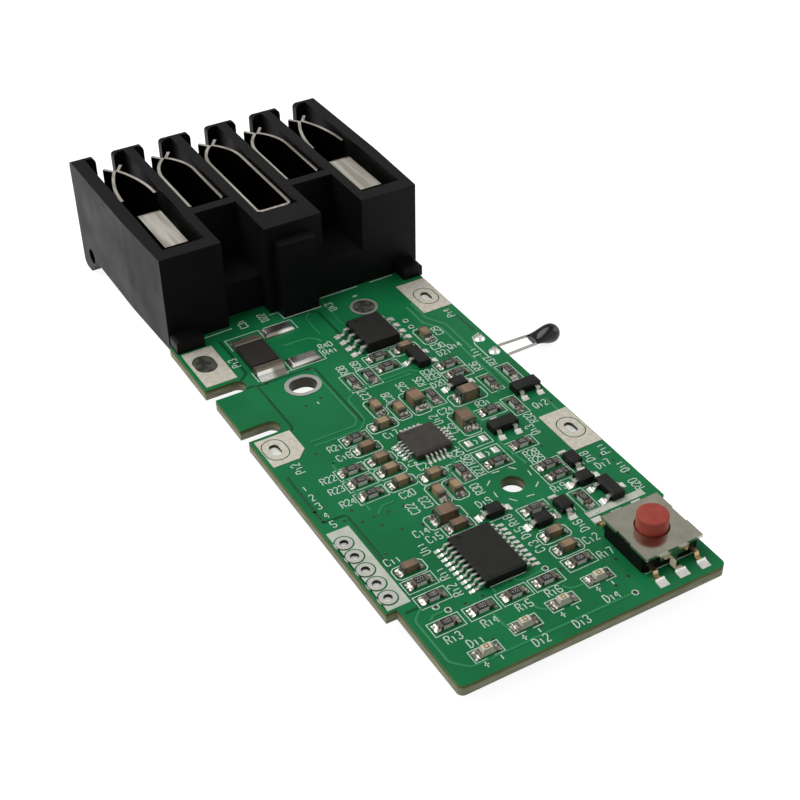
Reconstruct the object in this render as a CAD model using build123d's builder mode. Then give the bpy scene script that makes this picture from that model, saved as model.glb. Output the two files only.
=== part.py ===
"""Battery charging board: a small circuit board with a moulded five-chamber terminal housing,
a push switch, indicator lamps and a bead temperature sensor on two wire legs.

Millimetres, +Z up. The origin is the centre of the screw hole, on the board's top face.
Places on the board are measured from the middle of its near edge, as level() explains.
"""

import os
from math import cos, radians, sin

from build123d import *

# The board, and where the frame's origin lies on it
screw_hole_x = 3.67
screw_hole_y = 18.53
board_thickness = 1.2
board_left_x = -15.09
board_right_x = 14.93
near_edge_y = -0.28
near_inset = 1.08
near_length = 9.34
near_corner_radius = 0.6
step_bevel = 0.9
left_tab_reach = 0.28
slot_to_tab = 0.9
edge_slot_width = 2.0
edge_slot_depth = 3.89
near_slot_y = 38.15
rear_slot_to_pad = 1.4
board_rear_gap = 1.6

# Holes in the board
screw_hole_radius = 1.18
header_inset = 1.11
header_first_y = 11.56
header_pitch = 2.0
header_count = 5
header_bore_radius = 0.42
header_ring_radius = 0.83
barrel_wall = 0.08
pad_height = 0.06
negative_hole = (-6.25, 42.67)
negative_hole_size = (3.0, 2.5)
negative_ring_width = 0.48
positive_hole_x = 6.2
positive_hole_to_housing = 4.3
positive_hole_radius = 1.25
positive_ring_width = 0.33
sensor_hole_insets = (1.03, 0.93)
sensor_hole_ys = (40.3, 37.5)
fit_gap = 0.1

# Tinned pads where the cell tabs are welded: gap to the board's side edge and near end, size, and
# the eyelet's centre. The upper two are measured from the front of the housing's feet.
upper_left_pad_plan = ((0.09, -7.0), (3.5, 6.65), (1.63, -3.1))
middle_left_pad_plan = ((0.34, 32.3), (3.9, 4.4), (1.69, 34.65))
lower_right_pad_plan = ((0.13, 19.5), (3.3, 6.1), (1.6, 22.65))
upper_right_pad_plan = ((0.1, -6.94), (3.58, 6.2), (1.73, -4.1))
tab_pad_height = 0.08
tab_pad_bevel = 1.1
eyelet_size = (2.3, 3.15)
eyelet_hole_size = (1.0, 1.7)
eyelet_groove = 0.12
plug_size = (2.4, 3.2)
plug_sink = 0.1

# The moulded terminal housing
shunt_to_housing = 2.8
housing_depth = 25.8
housing_top = 10.7
housing_left_overhang = 0.56
housing_right_overhang = 0.92
housing_front_inset = 0.35
housing_taper_length = 9.6
floor_thickness = 1.2
rear_wall = 1.0
chamber_row_shift = 0.1
end_wall = 1.495
chamber_width = 4.75
outer_front_wall = 1.8
inner_front_depth = 8.3
middle_front_wall = 3.4
recess_wall = 1.25
recess_gap = 0.25
plinth_top = 4.1
left_plinth_depth = 1.8
pilaster_x = -0.15
pilaster_half_width = 2.15
pilaster_reach = 1.65
pilaster_top = 9.15
foot_reach = 2.0
left_foot_width = 3.2
right_foot_width = 2.4
foot_height = 1.5
foot_edge_radius = 0.45
left_foot_inset = 0.43
right_foot_inset = 0.7
skirt_wall = 1.0
skirt_drop = 0.6
leg_length = 4.6
leg_drop = 2.6
leg_toe_radius = 0.9
leg_recess_radius = 0.95
leg_recess_depth = 0.5
leg_recess_inset = 3.2
blade_slot_width = 2.2
top_edge_radius = 0.7
slot_edge_radius = 0.75

# Spring contacts in the chambers
leaf_thickness = 0.35
leaf_spread = 1.95
leaf_bottom = 1.6
leaf_top = 10.2
throat_gap = 0.05
tip_inset = 3.3
tip_flare = 1.2
tip_spread = 1.05
long_bow = 7.0
short_bow = 4.3
bar_gap = 0.9
leaf_corner_radius = 0.55
leaf_jog = 1.3
jog_top = 6.0
low_bar_top = 6.0
web_width = 2.65
web_top = 9.5
web_gap = 2.2
web_to_bend = 1.7
web_bend_radius = 1.3
web_lip = 2.0
tail_width = 1.2
tail_end = 1.3
front_tail_inset = 1.0
rear_tail_inset = 1.6

# The push switch
switch_inset = 4.08
switch_y = 5.49
switch_width = 6.2
switch_depth = 6.0
switch_base_height = 1.75
cover_sheet = 0.3
cover_overhang = 0.06
cover_notch_length = 2.0
cover_notch_depth = 0.12
cover_skirt_width = 3.3
cover_skirt_taper = 0.12
cover_skirt_drop = 0.75
cover_leg_width = 0.8
cover_leg_reach = 0.95
cover_leg_sheet = 0.2
base_corner_bevel = 0.3
button_radius = 1.5
button_height = 3.5
button_edge_radius = 0.18
button_clearance = 0.15
button_travel = 0.25
flange_rim = 0.35
flange_thickness = 0.4
button_nub_radius = 0.7
cavity_floor = 0.45
dome_radius = 1.75
dome_rise = 0.4
dome_sheet = 0.08
dome_clearance = 0.05
terminal_spread = 2.3
terminal_width = 0.5
terminal_sheet = 0.18
terminal_reach = 1.3
terminal_exit = 0.45

# Chip carriers with leads: centre, body size, height
control_chip = (-0.42, 27.99)
control_body = (3.95, 3.95, 0.9)
control_pitch = 0.5
control_leads_a_side = 5
meter_chip = (-3.95, 11.33)
meter_body = (4.3, 6.45, 1.1)
meter_pitch = 0.65
meter_leads_a_side = 10
gate_chip = (4.2, 46.45)
gate_body = (3.9, 4.9, 1.5)
gate_pitch = 1.27
gate_leads_a_side = 4
chip_lead_sheet = 0.15
chip_lead_share = 0.42
control_lead_reach = 0.75
meter_lead_reach = 1.05
gate_lead_reach = 1.1
control_lead_width = 0.2
meter_lead_width = 0.24
gate_lead_width = 0.42
chip_standoff = 0.1
chip_top_bevel = 0.22
pin_mark_radius = 0.28
pin_mark_depth = 0.05

# Small transistors and diodes
transistor_body = (2.95, 1.35, 1.1)
transistor_spots = ((10.85, 13.0, 180), (13.05, 30.35, -90), (7.55, 26.2, -90), (6.2, 40.3, 0))
transistor_lead_spread = 0.95
small_lead_width = 0.42
small_lead_reach = 0.6
small_lead_sheet = 0.14
small_lead_exit = 0.4
diode_lead_width = 0.55
diode_body = (1.6, 1.3, 1.05)
flat_diodes = ((2.95, 12.65), (9.6, 15.45), (-0.2, 15.95), (7.4, 34.25))
turned_diodes = ((5.75, 13.35), (10.3, 18.25))

# Chip resistors and capacitors, lying along the board's width or turned along its length
chip_length = 1.6
chip_width = 0.8
resistor_height = 0.45
resistor_coat = 0.05
resistor_end = 0.3
capacitor_height = 0.8
capacitor_end = 0.3
near_row_y = 6.25
near_row_x = (-11.29, -7.75, -4.35, -0.99)
left_resistors = ((-10.67, 11.71), (-10.67, 9.58), (-5.85, 32.1), (-8.6, 28.0), (-8.6, 26.1), (-8.6, 24.05))
right_resistors = (
    (2.9, 6.76), (3.35, 14.45), (8.1, 17.35), (8.1, 19.0), (7.7, 23.0), (4.1, 21.9), (7.96, 29.0)
)
upper_resistors = ((8.5, 37.9), (8.5, 36.1), (2.75, 42.8), (2.75, 40.85))
turned_resistors = ((8.02, 13.2), (0.43, 22.45), (10.6, 28.5), (10.55, 33.0), (13.2, 33.5))
upper_turned_resistors = ((-1.65, 40.35), (0.33, 40.35), (4.15, 34.0))
left_capacitors = ((-10.6, 13.6), (-5.7, 30.2), (-5.35, 28.0), (-5.35, 26.1), (-5.35, 24.05))
right_capacitors = ((2.95, 10.73), (2.93, 8.65), (-3.9, 16.1), (-2.17, 23.35), (-2.5, 32.6), (6.0, 42.75))
turned_capacitors = ((-3.15, 20.9), (-1.37, 20.7), (-1.76, 35.3), (0.1, 33.8), (9.1, 43.7))
large_chip_length = 2.0
large_chip_width = 1.25
large_chip_height = 1.2
large_chip_end = 0.4
flat_large_capacitors = ((-4.3, 17.75), (7.3, 32.25))
turned_large_capacitors = ((2.15, 34.1), (4.7, 28.75))
bare_pad_pairs = ((4.07, 25.65), (4.1, 23.55))
bare_pad_size = (0.7, 0.9)
bare_pad_spread = 0.85
bare_solder_height = 0.22
bare_edge_radius = 0.17

# Solder against a chip's end or a lead's toe: how far it spreads, how wide, how high it climbs
solder_foot = 0.05
solder_waist = 0.45
solder_waist_share = 0.42
solder_rise = 0.8
solder_reach = 0.5
solder_spread = 0.1
small_toe_solder = (0.5, 0.72, 0.26)
diode_toe_solder = (0.5, 0.85, 0.3)
gate_toe_solder = (0.6, 0.68, 0.24)
meter_toe_solder = (0.5, 0.36, 0.16)
control_toe_solder = (0.3, 0.26, 0.12)
terminal_toe_solder = (0.9, 1.0, 0.3)
cover_toe_solder = (0.85, 1.15, 0.3)

# The current shunt and the spare solder lands beside it
shunt_x = -8.15
hole_to_shunt = 6.78
shunt_length = 6.3
shunt_width = 3.15
shunt_height = 0.8
shunt_end = 1.1
shunt_solder_reach = 1.0
spare_land_size = (3.5, 1.7)
spare_land_x = -4.15
spare_land_rows = (-2.85, 3.45)
spare_land_height = 0.45
land_edge_radius = 0.4

# Indicator lamps
lamp_spots = ((-10.06, 1.95), (-5.58, 2.86), (-1.3, 3.37), (3.1, 4.22))
lamp_base_height = 0.3
lamp_solder_height = 0.3
lamp_lens_height = 0.4
lamp_lens_length = 1.1
lamp_lens_draft = 12

# The bead temperature sensor on its two wire legs, which run below the board
bead_reach = 7.85
bead_y = 39.6
bead_z = -2.1
bead_radius = 1.12
bead_heart_shift = 0.35
bead_heart_radius = 0.98
bead_tail_length = 2.45
leg_wire_radius = 0.16
leg_bend_radius = 0.45
leg_entry_gap = 1.75
leg_joint_height = 0.55
leg_joint_radius = 0.62
leg_joint_waist = 0.34
leg_joint_knee = 0.22
leg_joint_crown = 0.22
leg_joint_top = 0.5
leg_turn_reach = 1.9
leg_turn_spread = 0.1
bead_skin = 0.12


def level(height):
    """A level plane at this height over the board's top face.

    Its x runs from the middle of the board to the right, its y from the near edge to the rear.
    """
    return Plane(origin=(-screw_hole_x, -screw_hole_y, height))


def upright(x, y, heading=0.0, height=0.0):
    """A standing plane at a place on the board: its x runs along the heading, its y runs up."""
    away = (cos(radians(heading)), sin(radians(heading)), 0)
    across = (sin(radians(heading)), -cos(radians(heading)), 0)
    origin = (x - screw_hole_x, y - screw_hole_y, height)
    return Plane(origin=origin, x_dir=away, z_dir=across)


def side_plane(x):
    """A plane square to the board's width: its x runs to the rear and its y up."""
    return Plane(origin=(x - screw_hole_x, -screw_hole_y, 0), x_dir=(0, 1, 0), z_dir=(1, 0, 0))


def middle_of(corner, size):
    """The centre of a rectangle that is given by its near left corner."""
    return corner[0] + size[0] / 2, corner[1] + size[1] / 2


def oval(size, margin=0.0, mode=Mode.ADD):
    """An oval with round ends along its longer side, in the sketch that is open."""
    wide, high = size[0] + 2 * margin, size[1] + 2 * margin
    if wide > high:
        return SlotOverall(wide, high, mode=mode)
    return SlotOverall(high, wide, rotation=90, mode=mode)


def finish(name, part):
    """Name a finished piece and write it."""
    part.label = name
    export_step(part, f"parts/{name}.step")


os.makedirs("parts", exist_ok=True)

# What several pieces share: the board's outline and what is placed from it
near_left_x = board_left_x + near_inset
near_right_x = board_right_x - near_inset
near_step_y = near_edge_y + near_length
full_width_y = near_step_y + step_bevel
left_tab_x = board_left_x - left_tab_reach
shunt_y = negative_hole[1] + hole_to_shunt
housing_front_y = shunt_y + shunt_length / 2 + shunt_solder_reach + shunt_to_housing
housing_rear_y = housing_front_y + housing_depth
housing_left_x = board_left_x - housing_left_overhang
housing_right_x = board_right_x + housing_right_overhang
foot_front_y = housing_front_y - foot_reach
board_rear_y = housing_rear_y - board_rear_gap
header_spots = [(board_left_x + header_inset, header_first_y + header_pitch * i) for i in range(header_count)]
positive_hole = (positive_hole_x, housing_front_y - positive_hole_to_housing)
sensor_holes = [(board_right_x - inset, y) for inset, y in zip(sensor_hole_insets, sensor_hole_ys)]
spare_lands = [(spare_land_x, shunt_y + row) for row in spare_land_rows]
switch_x = near_right_x - switch_inset
bead_x = board_right_x + bead_reach


def pad_from_plan(edge_x, plan, base_y=0.0):
    """A pad's near left corner, size and eyelet centre, from its distances to a side edge."""
    (gap, near_y), size, (eyelet_inset, eyelet_y) = plan
    if edge_x < 0:
        return (edge_x + gap, base_y + near_y), size, (edge_x + eyelet_inset, base_y + eyelet_y)
    return (edge_x - gap - size[0], base_y + near_y), size, (edge_x - eyelet_inset, base_y + eyelet_y)


upper_left_pad = pad_from_plan(board_left_x, upper_left_pad_plan, foot_front_y)
middle_left_pad = pad_from_plan(board_left_x, middle_left_pad_plan)
lower_right_pad = pad_from_plan(board_right_x, lower_right_pad_plan)
upper_right_pad = pad_from_plan(board_right_x, upper_right_pad_plan, foot_front_y)
rear_slot_y = upper_left_pad[0][1] - rear_slot_to_pad
left_tab_start_y = rear_slot_y - slot_to_tab

# The chambers, the contacts in them and the contacts' tails
chamber_row_x = (housing_left_x + housing_right_x) / 2 + chamber_row_shift
chamber_pitch = (housing_right_x - housing_left_x - 2 * end_wall - chamber_width) / 4
chamber_xs = [chamber_row_x + chamber_pitch * (i - 2) for i in range(5)]
outer_chamber_front_y = housing_front_y + outer_front_wall
inner_chamber_front_y = housing_front_y + inner_front_depth
middle_chamber_front_y = housing_front_y + middle_front_wall
chamber_fronts = [
    outer_chamber_front_y,
    inner_chamber_front_y,
    middle_chamber_front_y,
    inner_chamber_front_y,
    outer_chamber_front_y,
]
chamber_rear_y = housing_rear_y - rear_wall
tip_y = housing_rear_y - tip_inset
throat_y = tip_y - tip_flare
long_bend_y = throat_y - long_bow
short_bend_y = throat_y - short_bow
web_half = (web_width - leaf_thickness) / 2
web_front_y = outer_chamber_front_y + web_gap
web_rear_y = long_bend_y - web_to_bend
web_length = web_rear_y - web_front_y
bar_ys = [front + bar_gap + leaf_thickness / 2 for front in chamber_fronts]
web_tail_ys = (web_front_y + front_tail_inset, web_rear_y - rear_tail_inset)
fork_tail_ys = [(bar_y + front_tail_inset, short_bend_y - rear_tail_inset) for bar_y in bar_ys]
tail_halves = [web_half, leaf_spread, leaf_spread, leaf_spread, web_half]
tail_rows = [web_tail_ys, *fork_tail_ys[1:4], web_tail_ys]
tail_spots = [
    (x + side * half, y)
    for x, half, ys in zip(chamber_xs, tail_halves, tail_rows)
    for side in (-1, 1)
    for y in ys
]
tail_left = housing_left_x + housing_front_inset + skirt_wall + fit_gap
tail_right = housing_right_x - housing_front_inset - skirt_wall - fit_gap
tail_start_y = housing_front_y - fit_gap

# The board: a narrow near end, a wider body with two slots in its left edge, and a tail under the housing
with BuildPart() as board:
    with BuildSketch(level(-board_thickness)):
        with BuildLine():
            Polyline(
                (near_left_x, near_edge_y),
                (near_right_x, near_edge_y),
                (near_right_x, near_step_y),
                (board_right_x, full_width_y),
                (board_right_x, tail_start_y),
                (tail_right, tail_start_y),
                (tail_right, board_rear_y),
                (tail_left, board_rear_y),
                (tail_left, tail_start_y),
                (left_tab_x, tail_start_y),
                (left_tab_x, left_tab_start_y),
                (board_left_x, left_tab_start_y),
                (board_left_x, full_width_y),
                (near_left_x, full_width_y),
                close=True,
            )
        make_face()
        slot_inner_x = board_left_x + edge_slot_depth
        slot_outer_x = left_tab_x - edge_slot_width
        with Locations(*[((slot_inner_x + slot_outer_x) / 2, y) for y in (near_slot_y, rear_slot_y)]):
            SlotOverall(slot_inner_x - slot_outer_x, edge_slot_width, mode=Mode.SUBTRACT)
        with Locations((screw_hole_x, screw_hole_y)):
            Circle(screw_hole_radius, mode=Mode.SUBTRACT)
        with Locations(*header_spots):
            Circle(header_bore_radius, mode=Mode.SUBTRACT)
        with Locations(negative_hole):
            oval(negative_hole_size, barrel_wall, Mode.SUBTRACT)
        with Locations(positive_hole):
            Circle(positive_hole_radius, mode=Mode.SUBTRACT)
        with Locations(*sensor_holes):
            Circle(leg_wire_radius + fit_gap, mode=Mode.SUBTRACT)
        with Locations(middle_left_pad[2], lower_right_pad[2], upper_right_pad[2]):
            oval(eyelet_hole_size, 0, Mode.SUBTRACT)
        with Locations(upper_left_pad[2]):
            oval(plug_size, 0, Mode.SUBTRACT)
        with Locations(*tail_spots):
            Rectangle(leaf_thickness + 2 * fit_gap, tail_width + 2 * fit_gap, mode=Mode.SUBTRACT)
    extrude(amount=board_thickness)
    fillet(board.edges().filter_by(Axis.Z).group_by(Axis.Y)[0], near_corner_radius)
finish("board", board.part)

# Plated rings of the header holes and the two wire holes, and the negative hole's barrel
with BuildPart() as plated_holes:
    with BuildSketch(level(-board_thickness)):
        with Locations(negative_hole):
            oval(negative_hole_size, barrel_wall)
            oval(negative_hole_size, 0, Mode.SUBTRACT)
    extrude(amount=board_thickness)
    with BuildSketch(level(0), level(-board_thickness - pad_height)):
        with Locations(*header_spots):
            Circle(header_ring_radius)
            Circle(header_bore_radius, mode=Mode.SUBTRACT)
        with Locations(negative_hole):
            oval(negative_hole_size, negative_ring_width)
            oval(negative_hole_size, 0, Mode.SUBTRACT)
        with Locations(positive_hole):
            Circle(positive_hole_radius + positive_ring_width)
            Circle(positive_hole_radius, mode=Mode.SUBTRACT)
    extrude(amount=pad_height)
finish("plated_holes", plated_holes.part)

# Dark fillings that close the positive wire hole and the upper left eyelet
with BuildPart() as hole_plugs:
    with BuildSketch(level(-board_thickness)):
        with Locations(positive_hole):
            Circle(positive_hole_radius)
        with Locations(upper_left_pad[2]):
            oval(plug_size)
    extrude(amount=board_thickness - plug_sink)
finish("hole_plugs", hole_plugs.part)

# Tinned pads for the cell tabs, three with an eyelet ring set off by a groove
with BuildPart() as cell_pads:
    with BuildSketch(level(0)):
        for corner, size, eyelet in (upper_left_pad, middle_left_pad, lower_right_pad, upper_right_pad):
            with Locations(middle_of(corner, size)):
                Rectangle(*size)
        with Locations((middle_left_pad[0][0] + middle_left_pad[1][0], middle_left_pad[0][1])):
            RegularPolygon(tab_pad_bevel, 4, mode=Mode.SUBTRACT)
        with Locations(middle_left_pad[2], lower_right_pad[2], upper_right_pad[2]):
            oval(eyelet_size, eyelet_groove, Mode.SUBTRACT)
            oval(eyelet_size)
            oval(eyelet_hole_size, 0, Mode.SUBTRACT)
        with Locations(upper_left_pad[2]):
            oval(plug_size, 0, Mode.SUBTRACT)
    extrude(amount=tab_pad_height)
finish("cell_pads", cell_pads.part)


# The moulded housing: five open chambers behind a stepped front, on the board's tail
with BuildPart() as terminal_housing:
    taper_end_y = housing_front_y + housing_taper_length
    footprint = [
        (housing_left_x + housing_front_inset, housing_front_y),
        (housing_right_x - housing_front_inset, housing_front_y),
        (housing_right_x, taper_end_y),
        (housing_right_x, housing_rear_y),
        (housing_left_x, housing_rear_y),
        (housing_left_x, taper_end_y),
    ]
    with BuildSketch(level(0)):
        Polygon(*footprint, align=None)
    extrude(amount=housing_top)
    rear_top_edge = terminal_housing.edges().filter_by(Axis.X).group_by(Axis.Z)[-1].sort_by(Axis.Y)[-1]
    fillet(rear_top_edge, top_edge_radius)
    with BuildSketch(level(-skirt_drop)):
        Polygon(*footprint, align=None)
        with Locations(((tail_left + tail_right) / 2, (housing_front_y + housing_rear_y) / 2)):
            open_width = tail_right - tail_left + 2 * fit_gap
            Rectangle(open_width, housing_rear_y - housing_front_y, mode=Mode.SUBTRACT)
    extrude(amount=skirt_drop)
    # The feet on the board in front of the outer blocks
    with BuildSketch(upright(0, foot_front_y, 0)):
        left_foot = (-1, housing_left_x + left_foot_inset, left_foot_width)
        right_foot = (1, housing_right_x - right_foot_inset, right_foot_width)
        for side, edge, width in (left_foot, right_foot):
            with Locations((edge - side * width / 2, foot_height / 2)):
                Rectangle(width, foot_height)
            with Locations((edge - side * foot_edge_radius / 2, foot_height - foot_edge_radius / 2)):
                Rectangle(foot_edge_radius, foot_edge_radius, mode=Mode.SUBTRACT)
            with Locations((edge - side * foot_edge_radius, foot_height - foot_edge_radius)):
                Circle(foot_edge_radius)
    extrude(amount=-foot_reach)
    # The pilaster on the middle block's front
    with BuildSketch(level(0)):
        with Locations((pilaster_x, housing_front_y - pilaster_reach / 2)):
            Rectangle(2 * pilaster_half_width, pilaster_reach)
    extrude(amount=pilaster_top)
    # The hooked legs at the rear corners
    leg_foot_z = -skirt_drop - leg_drop
    for outer_x, depth in ((housing_left_x, skirt_wall), (housing_right_x, -skirt_wall)):
        with BuildSketch(side_plane(outer_x)):
            with BuildLine():
                FilletPolyline(
                    (housing_rear_y, floor_thickness),
                    (housing_rear_y, leg_foot_z),
                    (housing_rear_y - leg_length / 2, leg_foot_z),
                    (housing_rear_y - leg_length, -skirt_drop),
                    (housing_rear_y - leg_length, floor_thickness),
                    radius=leg_toe_radius,
                    close=True,
                )
            make_face()
        extrude(amount=depth)
    # The recesses in front of the two inner chambers, over a low plinth
    recess_rear_y = inner_chamber_front_y - recess_wall
    recess_width = chamber_width + recess_gap
    with BuildSketch(level(plinth_top)):
        for x in (chamber_xs[1], chamber_xs[3]):
            with Locations((x, (housing_front_y + recess_rear_y) / 2)):
                Rectangle(recess_width, recess_rear_y - housing_front_y)
    extrude(amount=housing_top - plinth_top, mode=Mode.SUBTRACT)
    with BuildSketch(level(0)):
        with Locations((chamber_xs[1], housing_front_y + left_plinth_depth / 2)):
            Rectangle(recess_width, left_plinth_depth)
    extrude(amount=plinth_top, mode=Mode.SUBTRACT)
    # The chambers, open at the top
    with BuildSketch(level(floor_thickness)):
        for x, front in zip(chamber_xs, chamber_fronts):
            with Locations((x, (front + chamber_rear_y) / 2)):
                Rectangle(chamber_width, chamber_rear_y - front)
    extrude(amount=housing_top - floor_thickness, mode=Mode.SUBTRACT)
    # The blade slots in the rear wall, each with a rounded mouth
    with BuildSketch(upright(0, housing_rear_y, 0, floor_thickness)):
        slot_height = housing_top - floor_thickness
        for x in chamber_xs:
            with Locations((x, slot_height / 2)):
                Rectangle(blade_slot_width, slot_height)
            with Locations((x, slot_height - slot_edge_radius / 2)):
                Rectangle(blade_slot_width + 2 * slot_edge_radius, slot_edge_radius)
        mouth_half = blade_slot_width / 2 + slot_edge_radius
        mouth_xs = [x + side * mouth_half for x in chamber_xs for side in (-1, 1)]
        with Locations(*[(x, slot_height - slot_edge_radius) for x in mouth_xs]):
            Circle(slot_edge_radius, mode=Mode.SUBTRACT)
    extrude(amount=rear_wall, mode=Mode.SUBTRACT)
    # Passages for the contacts' tails
    with BuildSketch(level(0)):
        with Locations(*tail_spots):
            Rectangle(leaf_thickness + 2 * fit_gap, tail_width + 2 * fit_gap)
    extrude(amount=floor_thickness, mode=Mode.SUBTRACT)
    # The blind round recess in the outer face above each leg
    for outer_x, depth in ((housing_left_x, leg_recess_depth), (housing_right_x, -leg_recess_depth)):
        with BuildSketch(side_plane(outer_x)):
            with Locations((housing_rear_y - leg_recess_inset, -skirt_drop)):
                Circle(leg_recess_radius)
        extrude(amount=depth, mode=Mode.SUBTRACT)
finish("terminal_housing", terminal_housing.part)


def leaf_pair(x, half, front_y, bend_y, closed):
    """Two leaves seen from above: straight legs, a bow in to the throat and flared tips.

    A closed pair is one strip folded into a U; an open pair steps out from the side plates first.
    """
    throat_x = (leaf_thickness + throat_gap) / 2
    with BuildSketch(mode=Mode.PRIVATE) as outline:
        with BuildLine():
            if closed:
                FilletPolyline((0, front_y), (half, front_y), (half, bend_y), radius=leaf_corner_radius)
            else:
                Polyline((web_half, front_y), (half, front_y + leaf_jog), (half, bend_y))
            TangentArc((half, bend_y), (throat_x, throat_y), tangent=(0, 1))
            Line((throat_x, throat_y), (tip_spread, tip_y))
        trace(line_width=leaf_thickness)
        mirror(about=Plane.YZ)
    return Pos(x, 0) * outline.sketch


def contact_tails(x, half, ys):
    """The tails that pass through the housing's floor and the board."""
    with BuildSketch(level(-board_thickness - tail_end)) as tails:
        with Locations(*[(x + side * half, y) for side in (-1, 1) for y in ys]):
            Rectangle(leaf_thickness, tail_width)
    extrude(tails.sketch, amount=board_thickness + tail_end + leaf_bottom)


# The three inner contacts: one strip on edge, folded into a U whose ends meet and flare
for number in (2, 3, 4):
    contact_x = chamber_xs[number - 1]
    bar_y = bar_ys[number - 1]
    with BuildPart() as fork_contact:
        with BuildSketch(level(leaf_bottom)):
            add(leaf_pair(contact_x, leaf_spread, bar_y, short_bend_y, True))
        extrude(amount=leaf_top - leaf_bottom)
        if number != 3:
            with BuildSketch(level(low_bar_top)):
                with Locations((contact_x, bar_y)):
                    Rectangle(2 * leaf_spread - leaf_thickness, 2 * leaf_corner_radius)
            extrude(amount=leaf_top - low_bar_top, mode=Mode.SUBTRACT)
        contact_tails(contact_x, leaf_spread, fork_tail_ys[number - 1])
    finish(f"contact_{number}", fork_contact.part)

# The two outer contacts: a web over two side plates, whose leaves run on to the rear
for number in (1, 5):
    contact_x = chamber_xs[number - 1]
    with BuildPart() as web_contact:
        sheet_middle = web_top - leaf_thickness / 2
        with BuildSketch(side_plane(contact_x - web_width / 2)):
            with BuildLine():
                FilletPolyline(
                    (web_front_y, sheet_middle),
                    (web_rear_y, sheet_middle),
                    (web_rear_y, web_top - web_lip),
                    radius=web_bend_radius,
                )
            trace(line_width=leaf_thickness)
        extrude(amount=web_width)
        with BuildSketch(level(leaf_bottom)):
            plate_length = web_length + leaf_thickness
            with Locations((contact_x, web_front_y + plate_length / 2)):
                Rectangle(web_width, plate_length)
                Rectangle(web_width - 2 * leaf_thickness, plate_length, mode=Mode.SUBTRACT)
        extrude(amount=web_top - web_lip - leaf_bottom + leaf_thickness)
        with BuildSketch(level(leaf_bottom)):
            plate_length = web_length - web_bend_radius
            with Locations((contact_x, web_front_y + plate_length / 2)):
                Rectangle(web_width, plate_length)
                Rectangle(web_width - 2 * leaf_thickness, plate_length, mode=Mode.SUBTRACT)
        extrude(amount=web_top - leaf_thickness - leaf_bottom)
        with BuildSketch(level(leaf_bottom)):
            leaf_start_y = web_rear_y + leaf_thickness / 2
            add(leaf_pair(contact_x, leaf_spread, leaf_start_y, long_bend_y, False))
        extrude(amount=leaf_top - leaf_bottom)
        # The leaves stand free of the web above the step where they leave the side plates
        with BuildSketch(level(jog_top)):
            with Locations((contact_x, leaf_start_y + leaf_jog / 2)):
                Rectangle(2 * (leaf_spread + leaf_thickness), leaf_jog + 2 * leaf_thickness)
        extrude(amount=leaf_top - jog_top, mode=Mode.SUBTRACT)
        contact_tails(contact_x, web_half, web_tail_ys)
    finish(f"contact_{number}", web_contact.part)

# The push switch: a hollow base, a sheet cover, a spring dome, the button and its terminals
cavity_radius = button_radius + flange_rim + button_clearance
cover_top = switch_base_height + cover_sheet
button_foot = switch_base_height - flange_thickness

with BuildPart() as switch_base:
    with BuildSketch(level(0)):
        with Locations((switch_x, switch_y)):
            Rectangle(switch_width, switch_depth)
    extrude(amount=switch_base_height)
    chamfer(switch_base.edges().filter_by(Axis.Z), base_corner_bevel)
    with BuildSketch(level(cavity_floor)):
        with Locations((switch_x, switch_y)):
            Circle(cavity_radius)
    extrude(amount=switch_base_height - cavity_floor, mode=Mode.SUBTRACT)
finish("switch_base", switch_base.part)

with BuildPart() as switch_cover:
    with BuildSketch(level(switch_base_height)):
        with Locations((switch_x, switch_y)):
            Rectangle(switch_width + 2 * cover_overhang, switch_depth + 2 * cover_sheet)
            Circle(button_radius + button_clearance, mode=Mode.SUBTRACT)
        for side in (-1, 1):
            with Locations((switch_x + side * (switch_width / 2 + cover_overhang), switch_y)):
                Rectangle(2 * cover_notch_depth, cover_notch_length, mode=Mode.SUBTRACT)
    extrude(amount=cover_sheet)
    # At the near and far ends a wide flap hangs down, and a narrow leg runs on from it to the board
    flap_half = cover_skirt_width / 2
    flap_foot_z = switch_base_height - cover_skirt_drop
    for side in (-1, 1):
        with BuildSketch(upright(switch_x, switch_y + side * switch_depth / 2, 0)):
            Polygon(
                (-flap_half, cover_top),
                (flap_half, cover_top),
                (flap_half - cover_skirt_taper, flap_foot_z),
                (cover_leg_width / 2, flap_foot_z),
                (cover_leg_width / 2, 0),
                (-cover_leg_width / 2, 0),
                (-cover_leg_width / 2, flap_foot_z),
                (cover_skirt_taper - flap_half, flap_foot_z),
            )
        extrude(amount=-side * cover_sheet)
        with BuildSketch(level(0)):
            foot_middle = switch_depth / 2 + cover_sheet + cover_leg_reach / 2
            with Locations((switch_x, switch_y + side * foot_middle)):
                Rectangle(cover_leg_width, cover_leg_reach)
        extrude(amount=cover_leg_sheet)
finish("switch_cover", switch_cover.part)

with BuildPart() as switch_dome:
    with BuildSketch(upright(switch_x, switch_y, 0, cavity_floor)):
        with BuildLine():
            ThreePointArc((-dome_radius, dome_sheet), (0, dome_rise), (dome_radius, dome_sheet))
            Line((dome_radius, dome_sheet), (dome_radius, 0))
            ThreePointArc((dome_radius, 0), (0, dome_rise - dome_sheet), (-dome_radius, 0))
            Line((-dome_radius, 0), (-dome_radius, dome_sheet))
        make_face()
        with Locations((-dome_radius, dome_rise)):
            Rectangle(2 * dome_radius, 4 * dome_rise, mode=Mode.SUBTRACT)
    dome_axis = Axis((switch_x - screw_hole_x, switch_y - screw_hole_y, 0), (0, 0, 1))
    revolve(axis=dome_axis)
finish("switch_dome", switch_dome.part)

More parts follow.
